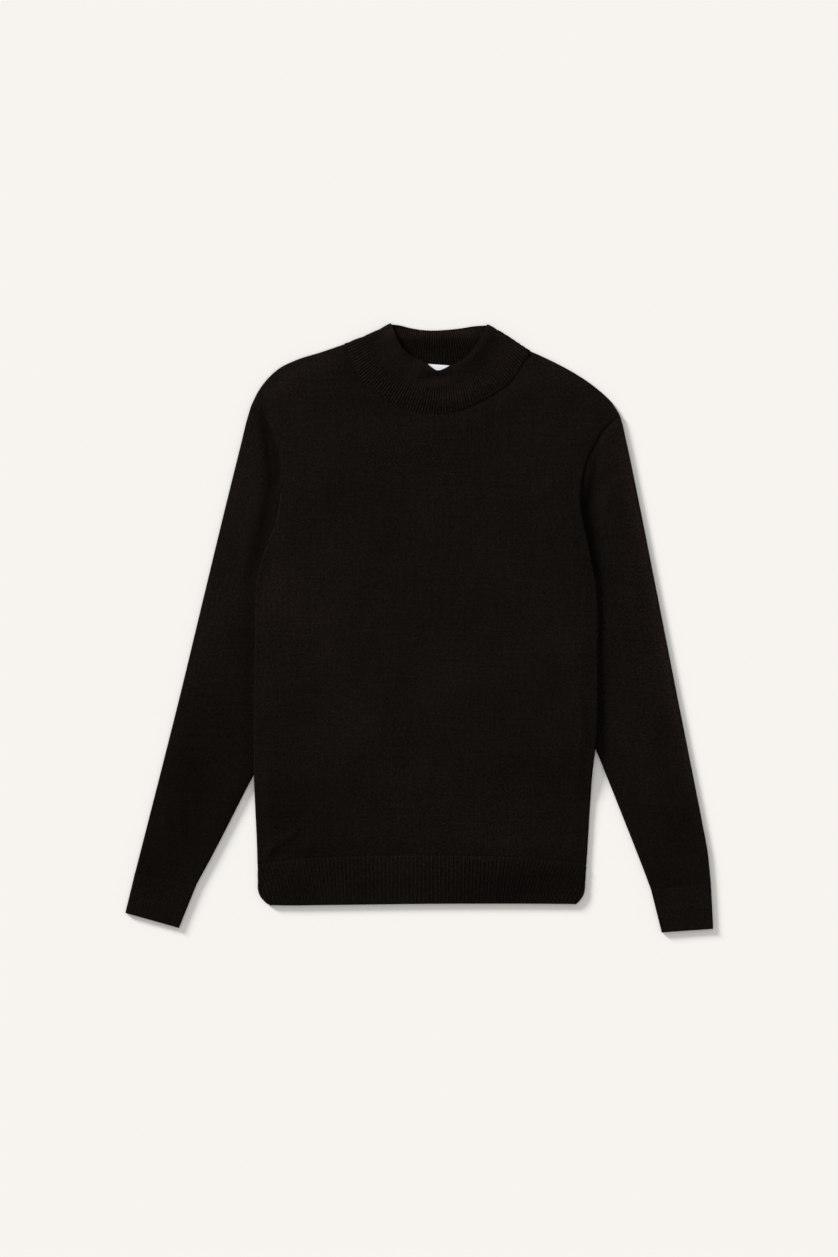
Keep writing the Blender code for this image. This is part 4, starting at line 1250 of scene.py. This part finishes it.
def linking(name, path, heights):
    """A row of yarn loops along a seam's path, at one height or at a height for each of its points."""
    path = np.column_stack([path, np.broadcast_to(heights, len(path))])
    shape = bmesh.new()
    run = lengths(path)
    count = int(run[-1] / STITCH_PITCH)
    for at in (np.arange(count) + 0.5) * run[-1] / count:
        place = [np.interp(at, run, path[:, axis]) for axis in range(3)]
        ahead = [np.interp(at + LOOK_AHEAD, run, path[:, axis]) for axis in range(3)]
        way = Vector(ahead) - Vector(place)
        turn = Matrix.Rotation(np.arctan2(way.y, way.x) + STITCH_SLANT, 4, "Z")
        size = Matrix.Diagonal((*[each / 2 for each in STITCH_SIZE], 1))
        matrix = Matrix.Translation(place) @ turn @ size
        bmesh.ops.create_uvsphere(shape, **LOOP_FACES, radius=1, matrix=matrix)
    mesh = bpy.data.meshes.new(name)
    shape.to_mesh(mesh)
    shape.free()
    mesh.shade_smooth()
    mesh.uv_layers.new(name="cloth")
    piece = placed(name, mesh)
    piece.location = GARMENT_PLACE
    mesh.materials.append(yarn)
    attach(piece, "root")


yarn = knit_material("linking_yarn", YARN_WALE, YARN_WALE, YARN_RELIEF, YARN_PATCH)
seam_top = JERSEY + LAYER_RISE - SEAM_DIP
linking("neck_linking", along(neck_line("front"), np.linspace(0.02, 0.98, 300)), seam_top)
for side, armhole in ARMHOLES.items():
    path = along(smooth(armhole), np.linspace(0.02, 0.98, 200))
    linking(f"armhole_linking_{side}", path, seam_top + edge_lift(side, path[:, 1]))
for side, folds in CUFF_FOLDS.items():
    outer, inner = (np.array(folds[edge][-1]) for edge in ("outer", "inner"))
    path = outer + (inner - outer) * np.linspace(0.02, 0.98, 100)[:, None]
    linking(f"cuff_linking_{side}", path, RIB + RIB_RISE - SEAM_DIP)
linking("hem_linking", rib_line(np.linspace(0.01, 0.99, 400)), seam_top)


# Floor, light and camera
# A pale floor, a low soft light from the upper left, and a camera straight above the middle of the garment.
FLOOR_SIDE = 12.0
FLOOR_FINISH = {"Base Color": (0.80, 0.7785, 0.7424, 1), "Roughness": 0.9, "Specular IOR Level": 0.0}
SKY_STRENGTH = 0.66
KEY_STRENGTH = 6.1
KEY_SPREAD = np.radians(12)
KEY_FROM = Vector((-1.0, 0.9, 0.36))
CAMERA_PLACE = (-0.0003, -0.00095, 3.64)
CAMERA_LENS = 85

floor_mesh = bpy.data.meshes.new("floor")
half_side = FLOOR_SIDE / 2
corners = [(x * half_side, y * half_side, 0) for x, y in ((-1, -1), (1, -1), (1, 1), (-1, 1))]
floor_mesh.from_pydata(corners, [], [(0, 1, 2, 3)])
floor_mesh.materials.append(plain_finish("pale_floor", FLOOR_FINISH)[0])
placed("floor", floor_mesh)

world = bpy.data.worlds.new("studio")
bpy.context.scene.world = world
world.use_nodes = True
world.node_tree.nodes["Background"].inputs["Color"].default_value = (1, 1, 1, 1)
world.node_tree.nodes["Background"].inputs["Strength"].default_value = SKY_STRENGTH
key_light = bpy.data.lights.new("key", "SUN")
key_light.energy = KEY_STRENGTH
key_light.angle = KEY_SPREAD
placed("key", key_light).rotation_euler = KEY_FROM.to_track_quat("Z", "Y").to_euler()

lens = bpy.data.cameras.new("camera")
lens.lens = CAMERA_LENS
camera = placed("camera", lens)
camera.location = CAMERA_PLACE
bpy.context.scene.camera = camera
bpy.context.scene.view_settings.view_transform = "Standard"
